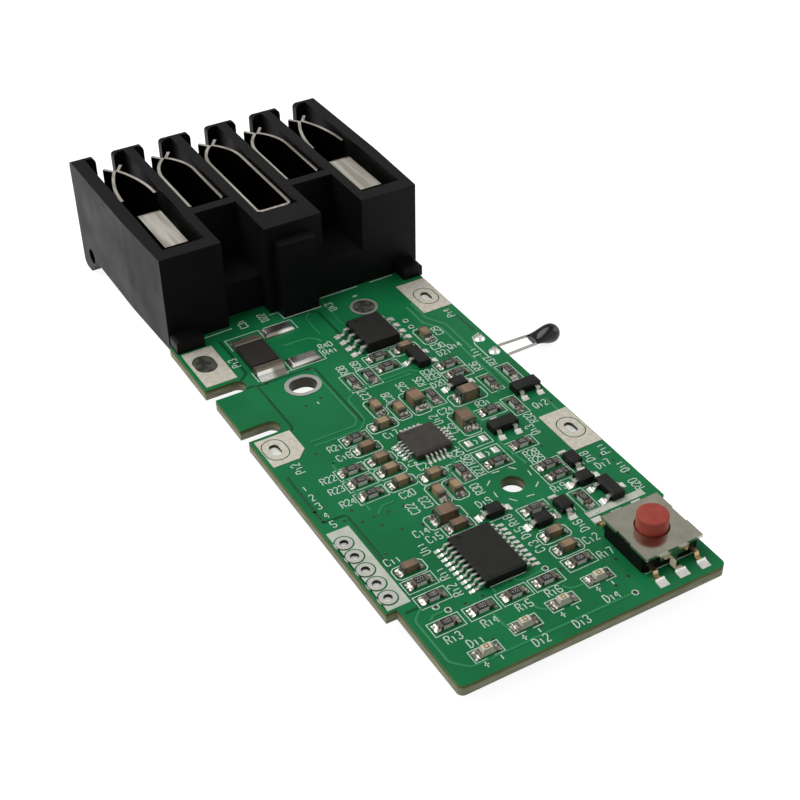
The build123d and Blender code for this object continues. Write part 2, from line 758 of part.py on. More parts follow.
with BuildPart() as switch_button:
    with BuildSketch(level(button_foot)):
        with Locations((switch_x, switch_y)):
            Circle(button_radius + flange_rim)
    extrude(amount=flange_thickness)
    with BuildSketch(level(button_foot)):
        with Locations((switch_x, switch_y)):
            Circle(button_radius)
    extrude(amount=button_height - button_foot)
    fillet(switch_button.edges().filter_by(GeomType.CIRCLE).group_by(Axis.Z)[-1], button_edge_radius)
    # The nub that presses the dome just clears it at the end of the travel
    with BuildSketch(level(cavity_floor + dome_rise + button_travel + dome_clearance)):
        with Locations((switch_x, switch_y)):
            Circle(button_nub_radius)
    extrude(until=Until.NEXT)
finish("switch_button", switch_button.part)


def lead_row(centre, half, heading, count, pitch):
    """Standing planes for a row of leads: each starts at the body's side and points outwards."""
    away = Vector(1, 0, 0).rotate(Axis.Z, heading)
    along = away.rotate(Axis.Z, 90)
    offsets = [(i - (count - 1) / 2) * pitch for i in range(count)]
    spots = [Vector(*centre, 0) + away * half + along * offset for offset in offsets]
    return [upright(spot.X, spot.Y, heading) for spot in spots]


def gull_wing(exit_height, reach, sheet):
    """A lead's side profile: out of the body, down, and flat on the board."""
    shoulder = reach * chip_lead_share
    heel = reach * (1 - chip_lead_share)
    Polygon(
        (0, exit_height),
        (shoulder - sheet / 2, exit_height),
        (heel - sheet / 2, 0),
        (reach, 0),
        (reach, sheet),
        (heel + sheet / 2, sheet),
        (shoulder + sheet / 2, exit_height + sheet),
        (0, exit_height + sheet),
    )


terminal_planes = []
for terminal_side in (-1, 1):
    for heading in (-90, 90):
        spot = (switch_x + terminal_side * terminal_spread, switch_y)
        terminal_planes += lead_row(spot, switch_depth / 2, heading, 1, 0)
with BuildPart() as switch_terminals:
    with BuildSketch(*terminal_planes):
        gull_wing(terminal_exit, terminal_reach, terminal_sheet)
    extrude(amount=terminal_width / 2, both=True)
finish("switch_terminals", switch_terminals.part)


def chip_body(name, centre, body):
    """A moulded chip body just over the board, bevelled on top, with a round mark at its first pin."""
    length_x, length_y, height = body
    with BuildPart() as moulded:
        with BuildSketch(level(chip_standoff)):
            with Locations(centre):
                Rectangle(length_x, length_y)
        extrude(amount=height - chip_standoff)
        chamfer(moulded.faces().sort_by(Axis.Z)[-1].edges(), chip_top_bevel)
        mark_inset = chip_top_bevel + 2 * pin_mark_radius
        with BuildSketch(level(height - pin_mark_depth)):
            with Locations((centre[0] - length_x / 2 + mark_inset, centre[1] + length_y / 2 - mark_inset)):
                Circle(pin_mark_radius)
        extrude(amount=pin_mark_depth, mode=Mode.SUBTRACT)
    finish(name, moulded.part)


def chip_leads(name, planes, exit_height, reach, width):
    """The leads of a chip, each a solid of its own."""
    with BuildPart() as leads:
        with BuildSketch(*planes):
            gull_wing(exit_height, reach, chip_lead_sheet)
        extrude(amount=width / 2, both=True)
    finish(name, leads.part)


chip_body("control_chip", control_chip, control_body)
control_rows = []
for heading in (0, 90, 180, 270):
    control_rows += lead_row(control_chip, control_body[0] / 2, heading, control_leads_a_side, control_pitch)
control_lead_top = control_body[2] / 2 - chip_lead_sheet
chip_leads("control_leads", control_rows, control_lead_top, control_lead_reach, control_lead_width)

chip_body("meter_chip", meter_chip, meter_body)
meter_rows = []
for heading in (0, 180):
    meter_rows += lead_row(meter_chip, meter_body[0] / 2, heading, meter_leads_a_side, meter_pitch)
chip_leads("meter_leads", meter_rows, meter_body[2] / 2 - chip_lead_sheet, meter_lead_reach, meter_lead_width)

chip_body("gate_chip", gate_chip, gate_body)
gate_rows = []
for heading in (0, 180):
    gate_rows += lead_row(gate_chip, gate_body[0] / 2, heading, gate_leads_a_side, gate_pitch)
chip_leads("gate_leads", gate_rows, gate_body[2] / 2 - chip_lead_sheet, gate_lead_reach, gate_lead_width)

# Transistors: two leads on one side and one on the other
with BuildPart() as transistor_bodies:
    length, width, height = transistor_body
    with BuildSketch(level(chip_standoff)):
        for x, y, heading in transistor_spots:
            with Locations((x, y)):
                Rectangle(length, width, rotation=heading + 90)
    extrude(amount=height - chip_standoff)
    chamfer(transistor_bodies.faces().filter_by(Axis.Z).group_by(Axis.Z)[-1].edges(), chip_top_bevel)
finish("transistor_bodies", transistor_bodies.part)

transistor_rows = []
for x, y, heading in transistor_spots:
    transistor_rows += lead_row((x, y), transistor_body[1] / 2, heading, 2, 2 * transistor_lead_spread)
    transistor_rows += lead_row((x, y), transistor_body[1] / 2, heading + 180, 1, 0)
with BuildPart() as transistor_leads:
    with BuildSketch(*transistor_rows):
        gull_wing(small_lead_exit, small_lead_reach, small_lead_sheet)
    extrude(amount=small_lead_width / 2, both=True)
finish("transistor_leads", transistor_leads.part)

# Diodes: one lead at each end
with BuildPart() as diode_bodies:
    length, width, height = diode_body
    with BuildSketch(level(chip_standoff)):
        with Locations(*flat_diodes):
            Rectangle(length, width)
        with Locations(*turned_diodes):
            Rectangle(width, length)
    extrude(amount=height - chip_standoff)
    chamfer(diode_bodies.faces().filter_by(Axis.Z).group_by(Axis.Z)[-1].edges(), chip_top_bevel)
finish("diode_bodies", diode_bodies.part)

diode_rows = []
for spots, headings in ((flat_diodes, (0, 180)), (turned_diodes, (90, 270))):
    for spot in spots:
        for heading in headings:
            diode_rows += lead_row(spot, diode_body[0] / 2, heading, 1, 0)
with BuildPart() as diode_leads:
    with BuildSketch(*diode_rows):
        gull_wing(small_lead_exit, small_lead_reach, small_lead_sheet)
    extrude(amount=diode_lead_width / 2, both=True)
finish("diode_leads", diode_leads.part)

# The chips with two ends, and where each kind lies
flat_resistors = [(x, near_row_y) for x in near_row_x]
flat_resistors += [*left_resistors, *right_resistors, *upper_resistors]
all_turned_resistors = [*turned_resistors, *upper_turned_resistors]
flat_capacitors = [*left_capacitors, *right_capacitors]


def chip_blocks(flat, turned, along, across, offset=0.0):
    """Rectangles on the chips at these places; with an offset, one at each end of every chip."""
    for spots, turn in ((flat, 0), (turned, 90)):
        for x, y in spots:
            for side in ((-1, 1) if offset else (0,)):
                shift = side * offset
                place = (x + shift, y) if turn == 0 else (x, y + shift)
                with Locations(place):
                    Rectangle(along, across, rotation=turn)


def two_ended_chips(name, flat, turned, size, end):
    """The bodies and the metal ends of a group of chips, as two pieces."""
    length, width, height = size
    with BuildPart() as bodies:
        with BuildSketch(level(0)):
            chip_blocks(flat, turned, length - 2 * end, width)
        extrude(amount=height)
    finish(f"{name}_bodies", bodies.part)
    with BuildPart() as ends:
        with BuildSketch(level(0)):
            chip_blocks(flat, turned, end, width, (length - end) / 2)
        extrude(amount=height)
    finish(f"{name}_ends", ends.part)


two_ended_chips(
    "resistor", flat_resistors, all_turned_resistors, (chip_length, chip_width, resistor_height), resistor_end
)
two_ended_chips(
    "capacitor",
    flat_capacitors,
    turned_capacitors,
    (chip_length, chip_width, capacitor_height),
    capacitor_end,
)
two_ended_chips(
    "large_capacitor",
    flat_large_capacitors,
    turned_large_capacitors,
    (large_chip_length, large_chip_width, large_chip_height),
    large_chip_end,
)

with BuildPart() as resistor_coats:
    with BuildSketch(level(resistor_height)):
        chip_blocks(flat_resistors, all_turned_resistors, chip_length - 2 * resistor_end, chip_width)
    extrude(amount=resistor_coat)
finish("resistor_coats", resistor_coats.part)


def solder_profile(start, reach, top):
    """The hollow side profile of solder that runs down from a metal end to its pad."""
    rise = top - solder_foot
    Polygon(
        (start, 0),
        (start + reach, 0),
        (start + reach, solder_foot),
        (start + reach * solder_waist, solder_foot + rise * (1 - solder_waist) * solder_waist_share),
        (start + reach * solder_waist * solder_waist_share, solder_foot + rise * solder_waist),
        (start, top),
        align=None,
    )


def solder_joints(flat, turned, length, width, height):
    """Solder against both ends of each chip."""
    planes = []
    for spots, headings in ((flat, (0, 180)), (turned, (90, 270))):
        for spot in spots:
            for heading in headings:
                planes += lead_row(spot, length / 2, heading, 1, 0)
    with BuildSketch(*planes) as wedges:
        solder_profile(0, solder_reach, height * solder_rise)
    extrude(wedges.sketch, amount=width / 2 + solder_spread, both=True)


def toe_joints(planes, reach, solder):
    """Solder beyond the toe of each lead in a row."""
    length, width, height = solder
    with BuildSketch(*planes) as wedges:
        solder_profile(reach, length, height)
    extrude(wedges.sketch, amount=width / 2, both=True)


with BuildPart() as chip_solder:
    solder_joints(flat_resistors, all_turned_resistors, chip_length, chip_width, resistor_height)
    solder_joints(flat_capacitors, turned_capacitors, chip_length, chip_width, resistor_height)
    solder_joints(
        flat_large_capacitors, turned_large_capacitors, large_chip_length, large_chip_width, large_chip_height
    )
    solder_joints(lamp_spots, (), chip_length, chip_width, lamp_solder_height)
finish("chip_solder", chip_solder.part)

with BuildPart() as lead_solder:
    toe_joints(control_rows, control_lead_reach, control_toe_solder)
    toe_joints(meter_rows, meter_lead_reach, meter_toe_solder)
    toe_joints(gate_rows, gate_lead_reach, gate_toe_solder)
    toe_joints(transistor_rows, small_lead_reach, small_toe_solder)
    toe_joints(diode_rows, small_lead_reach, diode_toe_solder)
    toe_joints(terminal_planes, terminal_reach, terminal_toe_solder)
    cover_feet = []
    for heading in (-90, 90):
        cover_feet += lead_row((switch_x, switch_y), switch_depth / 2 + cover_sheet, heading, 1, 0)
    toe_joints(cover_feet, cover_leg_reach, cover_toe_solder)
finish("lead_solder", lead_solder.part)

# Solder on the pads of the places left empty
with BuildPart() as bare_pads:
    with BuildSketch(level(0)):
        for x, y in bare_pad_pairs:
            with Locations((x - bare_pad_spread, y), (x + bare_pad_spread, y)):
                Rectangle(*bare_pad_size)
    extrude(amount=bare_solder_height)
    fillet(bare_pads.faces().filter_by(Axis.Z).group_by(Axis.Z)[-1].edges(), bare_edge_radius)
finish("bare_pads", bare_pads.part)

# The current shunt, its metal ends and the solder round it
with BuildPart() as shunt_body:
    with BuildSketch(level(0)):
        with Locations((shunt_x, shunt_y)):
            Rectangle(shunt_width, shunt_length - 2 * shunt_end)
    extrude(amount=shunt_height)
finish("shunt_body", shunt_body.part)

with BuildPart() as shunt_ends:
    with BuildSketch(level(0)):
        for side in (-1, 1):
            with Locations((shunt_x, shunt_y + side * (shunt_length - shunt_end) / 2)):
                Rectangle(shunt_width, shunt_end)
    extrude(amount=shunt_height)
    chamfer(
        shunt_ends.faces().filter_by(Axis.Z).group_by(Axis.Z)[-1].edges().filter_by(Axis.X),
        chip_top_bevel,
    )
finish("shunt_ends", shunt_ends.part)

with BuildPart() as land_solder:
    with BuildSketch(level(0)):
        with Locations(*spare_lands):
            Rectangle(*spare_land_size)
    extrude(amount=spare_land_height)
    fillet(land_solder.faces().filter_by(Axis.Z).group_by(Axis.Z)[-1].edges(), land_edge_radius)
    planes = lead_row((shunt_x, shunt_y), shunt_length / 2, 90, 1, 0)
    planes += lead_row((shunt_x, shunt_y), shunt_length / 2, 270, 1, 0)
    with BuildSketch(*planes):
        solder_profile(0, shunt_solder_reach, shunt_height * solder_rise)
    extrude(amount=shunt_width / 2, both=True)
finish("land_solder", land_solder.part)

# Indicator lamps: a thin base with metal ends, and a clear lens on top
with BuildPart() as lamp_bases:
    with BuildSketch(level(0)):
        with Locations(*lamp_spots):
            Rectangle(chip_length, chip_width)
    extrude(amount=lamp_base_height)
finish("lamp_bases", lamp_bases.part)

with BuildPart() as lamp_lenses:
    with BuildSketch(level(lamp_base_height)):
        with Locations(*lamp_spots):
            Rectangle(lamp_lens_length, chip_width)
    extrude(amount=lamp_lens_height, taper=lamp_lens_draft)
finish("lamp_lenses", lamp_lenses.part)

# The temperature sensor: two wire legs go down through the board, turn, and run out to the bead
leg_routes = []
for (hole_x, hole_y), side in zip(sensor_holes, (1, -1)):
    entry = (bead_x - bead_tail_length, bead_y + side * leg_entry_gap / 2, bead_z)
    turn = (board_right_x + leg_turn_reach, entry[1] + side * leg_turn_spread, bead_z)
    leg_routes.append(((hole_x, hole_y, leg_joint_height), (hole_x, hole_y, bead_z), turn, entry))

with BuildPart() as sensor_legs:
    for route in leg_routes:
        with BuildLine(level(0)) as leg_path:
            FilletPolyline(*route, radius=leg_bend_radius)
        start_plane = Plane(origin=leg_path.wire() @ 0, z_dir=leg_path.wire() % 0)
        with BuildSketch(start_plane):
            Circle(leg_wire_radius)
        sweep(path=leg_path.wire())
finish("sensor_legs", sensor_legs.part)

with BuildPart() as sensor_bead:
    with BuildSketch(upright(bead_x, bead_y, 0, bead_z)):
        with BuildLine():
            CenterArc((0, 0), bead_radius, 0, 180)
            Line((-bead_radius, 0), (bead_radius, 0))
        make_face()
    bead_axis = Axis((bead_x - screw_hole_x, bead_y - screw_hole_y, bead_z), (1, 0, 0))
    revolve(axis=bead_axis)
    for side in (1, -1):
        start = Vector(bead_x - bead_tail_length, bead_y + side * leg_entry_gap / 2, bead_z)
        heart = Vector(bead_x - bead_heart_shift, bead_y, bead_z)
        shift = Vector(screw_hole_x, screw_hole_y, 0)
        tail_direction = heart - start
        with BuildSketch(
            Plane(origin=start - shift, z_dir=tail_direction),
            mode=Mode.PRIVATE,
        ) as thin_end:
            Circle(leg_wire_radius + bead_skin)
        with BuildSketch(
            Plane(origin=heart - shift, z_dir=tail_direction),
            mode=Mode.PRIVATE,
        ) as thick_end:
            Circle(bead_heart_radius)
        loft(sections=[thin_end.sketch, thick_end.sketch])
finish("sensor_bead", sensor_bead.part)

# Solder round the sensor's legs where they pass the board
with BuildPart() as sensor_solder:
    for hole_x, hole_y in sensor_holes:
        with BuildSketch(upright(hole_x, hole_y)):
            Polygon(
                (leg_wire_radius, 0),
                (leg_joint_radius, 0),
                (leg_joint_waist, leg_joint_knee),
                (leg_joint_crown, leg_joint_top),
                (leg_wire_radius, leg_joint_top),
                align=None,
            )
        leg_axis = Axis((hole_x - screw_hole_x, hole_y - screw_hole_y, 0), (0, 0, 1))
        revolve(axis=leg_axis)
finish("sensor_solder", sensor_solder.part)
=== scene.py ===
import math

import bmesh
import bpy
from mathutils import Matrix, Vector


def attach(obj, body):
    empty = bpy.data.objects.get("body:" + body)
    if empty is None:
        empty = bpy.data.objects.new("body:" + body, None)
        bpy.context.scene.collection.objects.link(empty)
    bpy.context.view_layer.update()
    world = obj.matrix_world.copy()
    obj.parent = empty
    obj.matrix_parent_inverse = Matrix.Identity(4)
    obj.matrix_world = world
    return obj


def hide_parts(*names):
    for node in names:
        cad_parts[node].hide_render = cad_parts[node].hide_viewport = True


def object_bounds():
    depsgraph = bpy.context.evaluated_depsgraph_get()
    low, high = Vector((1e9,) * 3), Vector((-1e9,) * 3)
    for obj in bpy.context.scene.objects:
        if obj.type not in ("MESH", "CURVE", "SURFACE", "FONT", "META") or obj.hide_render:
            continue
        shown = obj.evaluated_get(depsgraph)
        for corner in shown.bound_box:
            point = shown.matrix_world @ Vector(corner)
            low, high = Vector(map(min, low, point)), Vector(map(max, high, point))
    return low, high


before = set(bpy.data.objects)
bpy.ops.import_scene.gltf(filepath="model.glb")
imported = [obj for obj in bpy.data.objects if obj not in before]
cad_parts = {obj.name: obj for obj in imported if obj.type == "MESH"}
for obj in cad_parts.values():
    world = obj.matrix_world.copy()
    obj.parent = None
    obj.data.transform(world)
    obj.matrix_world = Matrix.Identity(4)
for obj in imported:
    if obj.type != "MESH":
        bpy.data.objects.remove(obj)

# %% [markdown]
# # A battery charging board
# The real object is a small green circuit board with a black terminal housing at its far end.
# The solids of the board, the chips and the contacts come from the frame, at their real size.
# This lesson gives them their finishes, and adds what is too thin for a solid model:
# the white print, the copper tracks under the mask, the covered holes, the plating and the soldered tails.

cad_low, cad_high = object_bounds()
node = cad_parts
MM = 0.001
BOARD_THICK = 1.2 * MM
# The frame's origin is the screw hole; the drawing below counts from the middle of the near edge
HOLE_X, HOLE_Y = 3.67, 18.53


def at(x, y, z=0.0):
    """A place on the board, in millimetres from the middle of its near edge, in the frame."""
    return Vector(((x - HOLE_X) * MM, (y - HOLE_Y) * MM, z * MM))


print("the frame holds", len(node), "nodes")

# %% [markdown]
# ## The camera
# The photograph looks down on the board from the near left. A camera is a place and a turn:
# the three rows below are its right, up and backward directions, so they make its turn directly.

# %% The camera at the photograph's angle
RIGHT = Vector((0.86380871, -0.50365094, -0.01304769))
UP = Vector((0.31608692, 0.52158846, 0.7924863))
BACK = Vector((-0.39233095, -0.68868078, 0.60975012))
STANDPOINT = at(-57.0396, -66.7039, 90.3375)
camera = bpy.data.objects.new("camera", bpy.data.cameras.new("camera"))
bpy.context.scene.collection.objects.link(camera)
camera.data.lens, camera.data.sensor_width = 65.35, 36.0
camera.data.clip_start, camera.data.clip_end = 0.01, 3.0
turn = Matrix((RIGHT, UP, BACK)).transposed().to_4x4()
camera.matrix_world = Matrix.Translation(STANDPOINT) @ turn
bpy.context.scene.camera = camera
print("camera is", round(camera.location.length * 1000), "mm from the screw hole")

# %% [markdown]
# ## Light
# A product like this is photographed on white paper under large soft lamps.
# One broad lamp stands high at the back left, and two weaker ones fill from the right and the left.
# Black plastic shows little but the reflections of these lamps.


# %% Three soft lamps
def lamp(name, place, target, power, size):
    """A square soft lamp, aimed at a place on the board; places in metres, power in watts."""
    light = bpy.data.lights.new(name, "AREA")
    light.energy, light.size = power, size
    made = bpy.data.objects.new(name, light)
    bpy.context.scene.collection.objects.link(made)
    made.location = place
    made.rotation_mode = "QUATERNION"
    made.rotation_quaternion = (Vector(target) - Vector(place)).to_track_quat("-Z", "Y")


lamp("high_lamp", (-0.16, 0.20, 0.42), target=(0, 0.02, 0), power=2.1, size=0.42)
lamp("side_lamp", (0.40, -0.12, 0.30), target=(0, 0.02, 0), power=0.65, size=0.36)
lamp("left_lamp", (-0.46, 0.04, 0.20), target=(0, 0.03, 0), power=0.42, size=0.40)

# %% [markdown]
# ## Finishes: one helper for every node
# A material here is a small graph. One function adds a node with its settings and links,
# so that each finish below reads as a short list of what the real surface is made of.


# %% The helpers for materials
def tone(hex_colour):
    """An sRGB hex colour as the linear values that a shader takes."""
    parts = [int(hex_colour[i : i + 2], 16) / 255 for i in (1, 3, 5)]
    linear = [p / 12.92 if p <= 0.04045 else ((p + 0.055) / 1.055) ** 2.4 for p in parts]
    return (*linear, 1.0)


def add(tree, kind, settings=None, **links):
    """Adds a node of this kind, with its settings and inputs.

    An input goes by its name, with _ for a space, or by its number, as a0. It takes a socket or a value.
    """
    made = tree.nodes.new(kind)
    for key, value in (settings or {}).items():
        setattr(made, key, value)
    for key, value in links.items():
        socket = made.inputs[int(key[1:]) if key[1:].isdigit() else key.replace("_", " ")]
        if isinstance(value, bpy.types.NodeSocket):
            tree.links.new(value, socket)
        else:
            socket.default_value = value
    return made


def finish_named(name, colour, metallic=0.0, roughness=0.5, **extra):
    """A new material with one shader; gives back the material, its tree and the shader."""
    made = bpy.data.materials.new(name)
    made.use_nodes = True
    tree = made.node_tree
    tree.nodes.clear()
    basics = {"Base_Color": tone(colour), "Metallic": metallic, "Roughness": roughness}
    shader = add(tree, "ShaderNodeBsdfPrincipled", **basics, **extra)
    add(tree, "ShaderNodeOutputMaterial", Surface=shader.outputs[0])
    made.diffuse_color = tone(colour)
    return made, tree, shader


def noise(tree, size_mm, detail=3.0, roughness=0.55, stretch=(1, 1, 1)):
    """Noise whose lumps are about this many millimetres, on the object's own coordinates."""
    place = add(tree, "ShaderNodeTexCoord")
    scaled = add(tree, "ShaderNodeMapping", Vector=place.outputs["Object"], Scale=stretch)
    return add(
        tree,
        "ShaderNodeTexNoise",
        Vector=scaled.outputs[0],
        Scale=1 / (size_mm * MM),
        Detail=detail,
        Roughness=roughness,
    ).outputs[0]


def spread(tree, value, low, high, to_low, to_high):
    """A value that runs from low to high, mapped to run between two others."""
    return add(tree, "ShaderNodeMapRange", a0=value, a1=low, a2=high, a3=to_low, a4=to_high).outputs[0]


def blend_colours(tree, factor, first, second):
    """A colour between two hex colours or sockets."""
    mixed = add(tree, "ShaderNodeMix", {"data_type": "RGBA"})
    tree.links.new(factor, mixed.inputs[0])
    for colour, socket in ((first, mixed.inputs[6]), (second, mixed.inputs[7])):
        if isinstance(colour, str):
            socket.default_value = tone(colour)
        else:
            tree.links.new(colour, socket)
    return mixed.outputs[2]


def relief(tree, shader, height, depth_mm, strength=1.0):
    """Bumps of this depth from a height that runs from 0 to 1."""
    bump = add(tree, "ShaderNodeBump", Height=height, Distance=depth_mm * MM, Strength=strength)
    tree.links.new(bump.outputs[0], shader.inputs["Normal"])


def maths(tree, operation, first, second=0.0):
    """One operation on two values."""
    return add(tree, "ShaderNodeMath", {"operation": operation}, a0=first, a1=second).outputs[0]


def upward_part(tree, vector):
    """The third number of a vector."""
    return add(tree, "ShaderNodeSeparateXYZ", Vector=vector).outputs[2]


def faces_up(tree, low, high):
    """Runs from 0 on a face that is steep to 1 on one that lies flat, however the piece is seen."""
    normal = add(tree, "ShaderNodeNewGeometry").outputs["Normal"]
    return spread(tree, upward_part(tree, normal), low, high, 0.0, 1.0)


def mottle(tree, first, second, size_mm, detail, low=0.3, high=0.7):
    """Patches of two colours, about this many millimetres across."""
    return blend_colours(tree, spread(tree, noise(tree, size_mm, detail), low, high, 0, 1), first, second)


def tint(tree, shader, colour):
    """Gives a shader a colour that varies over the surface."""
    tree.links.new(colour, shader.inputs["Base Color"])


def wear(node_name, material):
    """Gives a node of the frame its finish."""
    node[node_name].data.materials.clear()
    node[node_name].data.materials.append(material)


def simple_finish(name, colour, wearers, bumps, patches=None, **values):
    """A finish with bumps of one kind, and perhaps patches of two colours, for the nodes that wear it.

    Bumps are size, detail, depth and strength; patches are what mottle() takes.
    """
    made, tree, shader = finish_named(name, colour, **values)
    if patches:
        tint(tree, shader, mottle(tree, *patches))
    size_mm, detail, depth_mm, strength = bumps
    relief(tree, shader, noise(tree, size_mm, detail), depth_mm, strength)
    for wearer in wearers:
        wear(wearer, made)
    return made


print("helpers ready")

# %% [markdown]
# ## Floor and world
# The photograph's ground is plain white. World and floor show a bright face to the camera, to mirrors
# and through clear resin, and a dimmer one to all other light. So the ground stays white without
# throwing more light on the board, and a soft shadow still shows on it.


# %% White floor and pale world
def by_ray(tree, seen, otherwise):
    """Mixes two shaders: the first for what is seen, mirrored or seen through, the second for light."""
    path = add(tree, "ShaderNodeLightPath").outputs
    either = maths(tree, "MAXIMUM", path["Is Camera Ray"], path["Is Glossy Ray"])
    any_of_them = maths(tree, "MAXIMUM", either, path["Is Transmission Ray"])
    return add(tree, "ShaderNodeMixShader", a0=any_of_them, a1=otherwise, a2=seen).outputs[0]


world = bpy.data.worlds.new("studio")
bpy.context.scene.world = world
world.use_nodes = True
sky = world.node_tree
sky.nodes.clear()
# The backdrop is white at the horizon and falls off to a dim ceiling, which gives metal its contrast
towards = add(sky, "ShaderNodeTexCoord").outputs["Generated"]
falling = spread(sky, upward_part(sky, towards), 0.1, 0.9, 1.0, 0.45)
# and its near right side, behind the camera, is the bright one
BRIGHT_SIDE = (0.45, -0.85, 0)
sideways = add(sky, "ShaderNodeVectorMath", {"operation": "DOT_PRODUCT"}, a0=towards, a1=BRIGHT_SIDE)
nearness = spread(sky, sideways.outputs[1], -0.8, 0.7, 0.45, 1.5)
strength = maths(sky, "MINIMUM", maths(sky, "MULTIPLY", falling, nearness), 1.0)
white = add(sky, "ShaderNodeBackground", Color=(1, 1, 1, 1), Strength=strength)
pale = add(sky, "ShaderNodeBackground", Color=(0.95, 0.97, 1, 1), Strength=0.27)
add(sky, "ShaderNodeOutputWorld", Surface=by_ray(sky, white.outputs[0], pale.outputs[0]))

paper = bpy.data.materials.new("white_paper")
paper.use_nodes = True
tree = paper.node_tree
tree.nodes.clear()
sheet = add(tree, "ShaderNodeBsdfDiffuse", Color=(0.82, 0.82, 0.82, 1))
# What the camera sees is mostly the sheet's own white, with just enough lit paper to hold a shadow
thin_sheet = add(tree, "ShaderNodeBsdfDiffuse", Color=(0.3, 0.3, 0.3, 1))
glow = add(tree, "ShaderNodeEmission", Color=(1, 1, 1, 1), Strength=0.9)
lit = add(tree, "ShaderNodeAddShader", a0=thin_sheet.outputs[0], a1=glow.outputs[0])
add(tree, "ShaderNodeOutputMaterial", Surface=by_ray(tree, lit.outputs[0], sheet.outputs[0]))

FLOOR_REACH, FLOOR_GAP = 1.6, 0.0001
floor_mesh = bpy.data.meshes.new("floor")
floor_z = cad_low.z - FLOOR_GAP
floor_mesh.from_pydata(
    [(x * FLOOR_REACH, y * FLOOR_REACH, floor_z) for x, y in ((-1, -1), (1, -1), (1, 1), (-1, 1))],
    [],
    [(0, 1, 2, 3)],
)
floor = bpy.data.objects.new("floor", floor_mesh)
bpy.context.scene.collection.objects.link(floor)
floor_mesh.materials.append(paper)
print("floor at", round(floor_z * 1000, 2), "mm")

# %% [markdown]
# ## The board
# The board is glass-fibre laminate under a glossy green solder mask. From the side its cut edge
# shows the brown-green laminate with faint layers of glass cloth, so one material splits by height:
# mask on the two faces, laminate between. Where there is no copper below, the mask looks darker.

# %% Solder mask and laminate
MASK_GLOSS = {"Coat_Weight": 0.04, "Coat_Roughness": 0.18, "Specular_IOR_Level": 0.13}
board_finish, tree, shader = finish_named("green_solder_mask", "#176A3C", **MASK_GLOSS)
MASK_THICK = 0.03 * MM
height = upward_part(tree, add(tree, "ShaderNodeTexCoord").outputs["Object"])
middle = maths(tree, "ADD", height, BOARD_THICK / 2)
from_middle = maths(tree, "ABSOLUTE", middle)
on_face = maths(tree, "GREATER_THAN", from_middle, BOARD_THICK / 2 - MASK_THICK)
# Cloudy patches: the mask lies thicker and thinner over the copper
mask_colour = mottle(tree, "#116237", "#176E41", 9.0, 2.0, 0.35, 0.65)
fine = spread(tree, noise(tree, 0.35, 2.0), 0.3, 0.7, 0.0, 1.0)
cloth = spread(tree, noise(tree, 0.25, 2.0, stretch=(0.15, 0.15, 2.2)), 0.35, 0.65, 0.0, 1.0)
lower_part = blend_colours(tree, cloth, "#77745E", "#98967F")
upper_part = blend_colours(tree, cloth, "#3F4A22", "#5A6631")
edge_colour = blend_colours(tree, spread(tree, middle, 0.0, 0.35 * MM, 0.0, 1.0), lower_part, upper_part)
tint(tree, shader, blend_colours(tree, on_face, edge_colour, mask_colour))
tree.links.new(spread(tree, on_face, 0.0, 1.0, 0.75, 0.28), shader.inputs["Roughness"])
relief(tree, shader, fine, 0.004, 0.5)
wear("board", board_finish)
print("board wears", board_finish.name)

# %% [markdown]
# ## Lines: one tree for print and tracks
# The white print and the copper tracks are both lines of even width on a flat board.
# A drawing of bare edges goes into one Geometry Nodes tree, which rounds its corners and gives each
# line a small rectangular section. Doing this by hand for hundreds of lines would be slow and uneven.


# %% The tree that gives drawn lines their width
def realised(tree, shape, finish):
    """The end of a tree: copies become real and take their finish."""
    whole = add(tree, "GeometryNodeRealizeInstances", Geometry=shape.outputs[0])
    return add(tree, "GeometryNodeSetMaterial", Geometry=whole.outputs[0], Material=finish).outputs[0]


def line_tree():
    """Edges become ribbons; the named inputs set width, thickness, corner radius and finish."""
    made = bpy.data.node_groups.new("drawn_lines", "GeometryNodeTree")
    sockets = made.interface
    sockets.new_socket("Drawing", in_out="INPUT", socket_type="NodeSocketGeometry")
    for name in ("Line width", "Thickness", "Corner radius"):
        sockets.new_socket(name, in_out="INPUT", socket_type="NodeSocketFloat")
    sockets.new_socket("Finish", in_out="INPUT", socket_type="NodeSocketMaterial")
    sockets.new_socket("Lines", in_out="OUTPUT", socket_type="NodeSocketGeometry")
    given = made.nodes.new("NodeGroupInput").outputs
    curves = add(made, "GeometryNodeMeshToCurve", Mesh=given["Drawing"])
    turns = {"Count": 5, "Radius": given["Corner radius"]}
    rounded = add(made, "GeometryNodeFilletCurve", {"mode": "POLY"}, Curve=curves.outputs[0], **turns)
    upright = add(made, "GeometryNodeSetCurveNormal", {"mode": "Z_UP"}, Curve=rounded.outputs[0])
    sides = {"Width": given["Line width"], "Height": given["Thickness"]}
    section = add(made, "GeometryNodeCurvePrimitiveQuadrilateral", **sides)
    parts = {"Curve": upright.outputs[0], "Profile_Curve": section.outputs[0], "Fill_Caps": True}
    ribbon = add(made, "GeometryNodeCurveToMesh", **parts)
    coloured = realised(made, ribbon, given["Finish"])
    made.links.new(coloured, made.nodes.new("NodeGroupOutput").inputs[0])
    return made


LINES = line_tree()


def settle(name, source, body="base"):
    """Turns a modified object into a plain mesh that rides on a body, and removes the source."""
    bpy.context.view_layer.update()
    evaluated = source.evaluated_get(bpy.context.evaluated_depsgraph_get())
    mesh = bpy.data.meshes.new_from_object(evaluated)
    bpy.data.objects.remove(source)
    made = bpy.data.objects.new(name, mesh)
    bpy.context.scene.collection.objects.link(made)
    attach(made, body)
    print(name, "has", len(mesh.polygons), "faces")
    return made


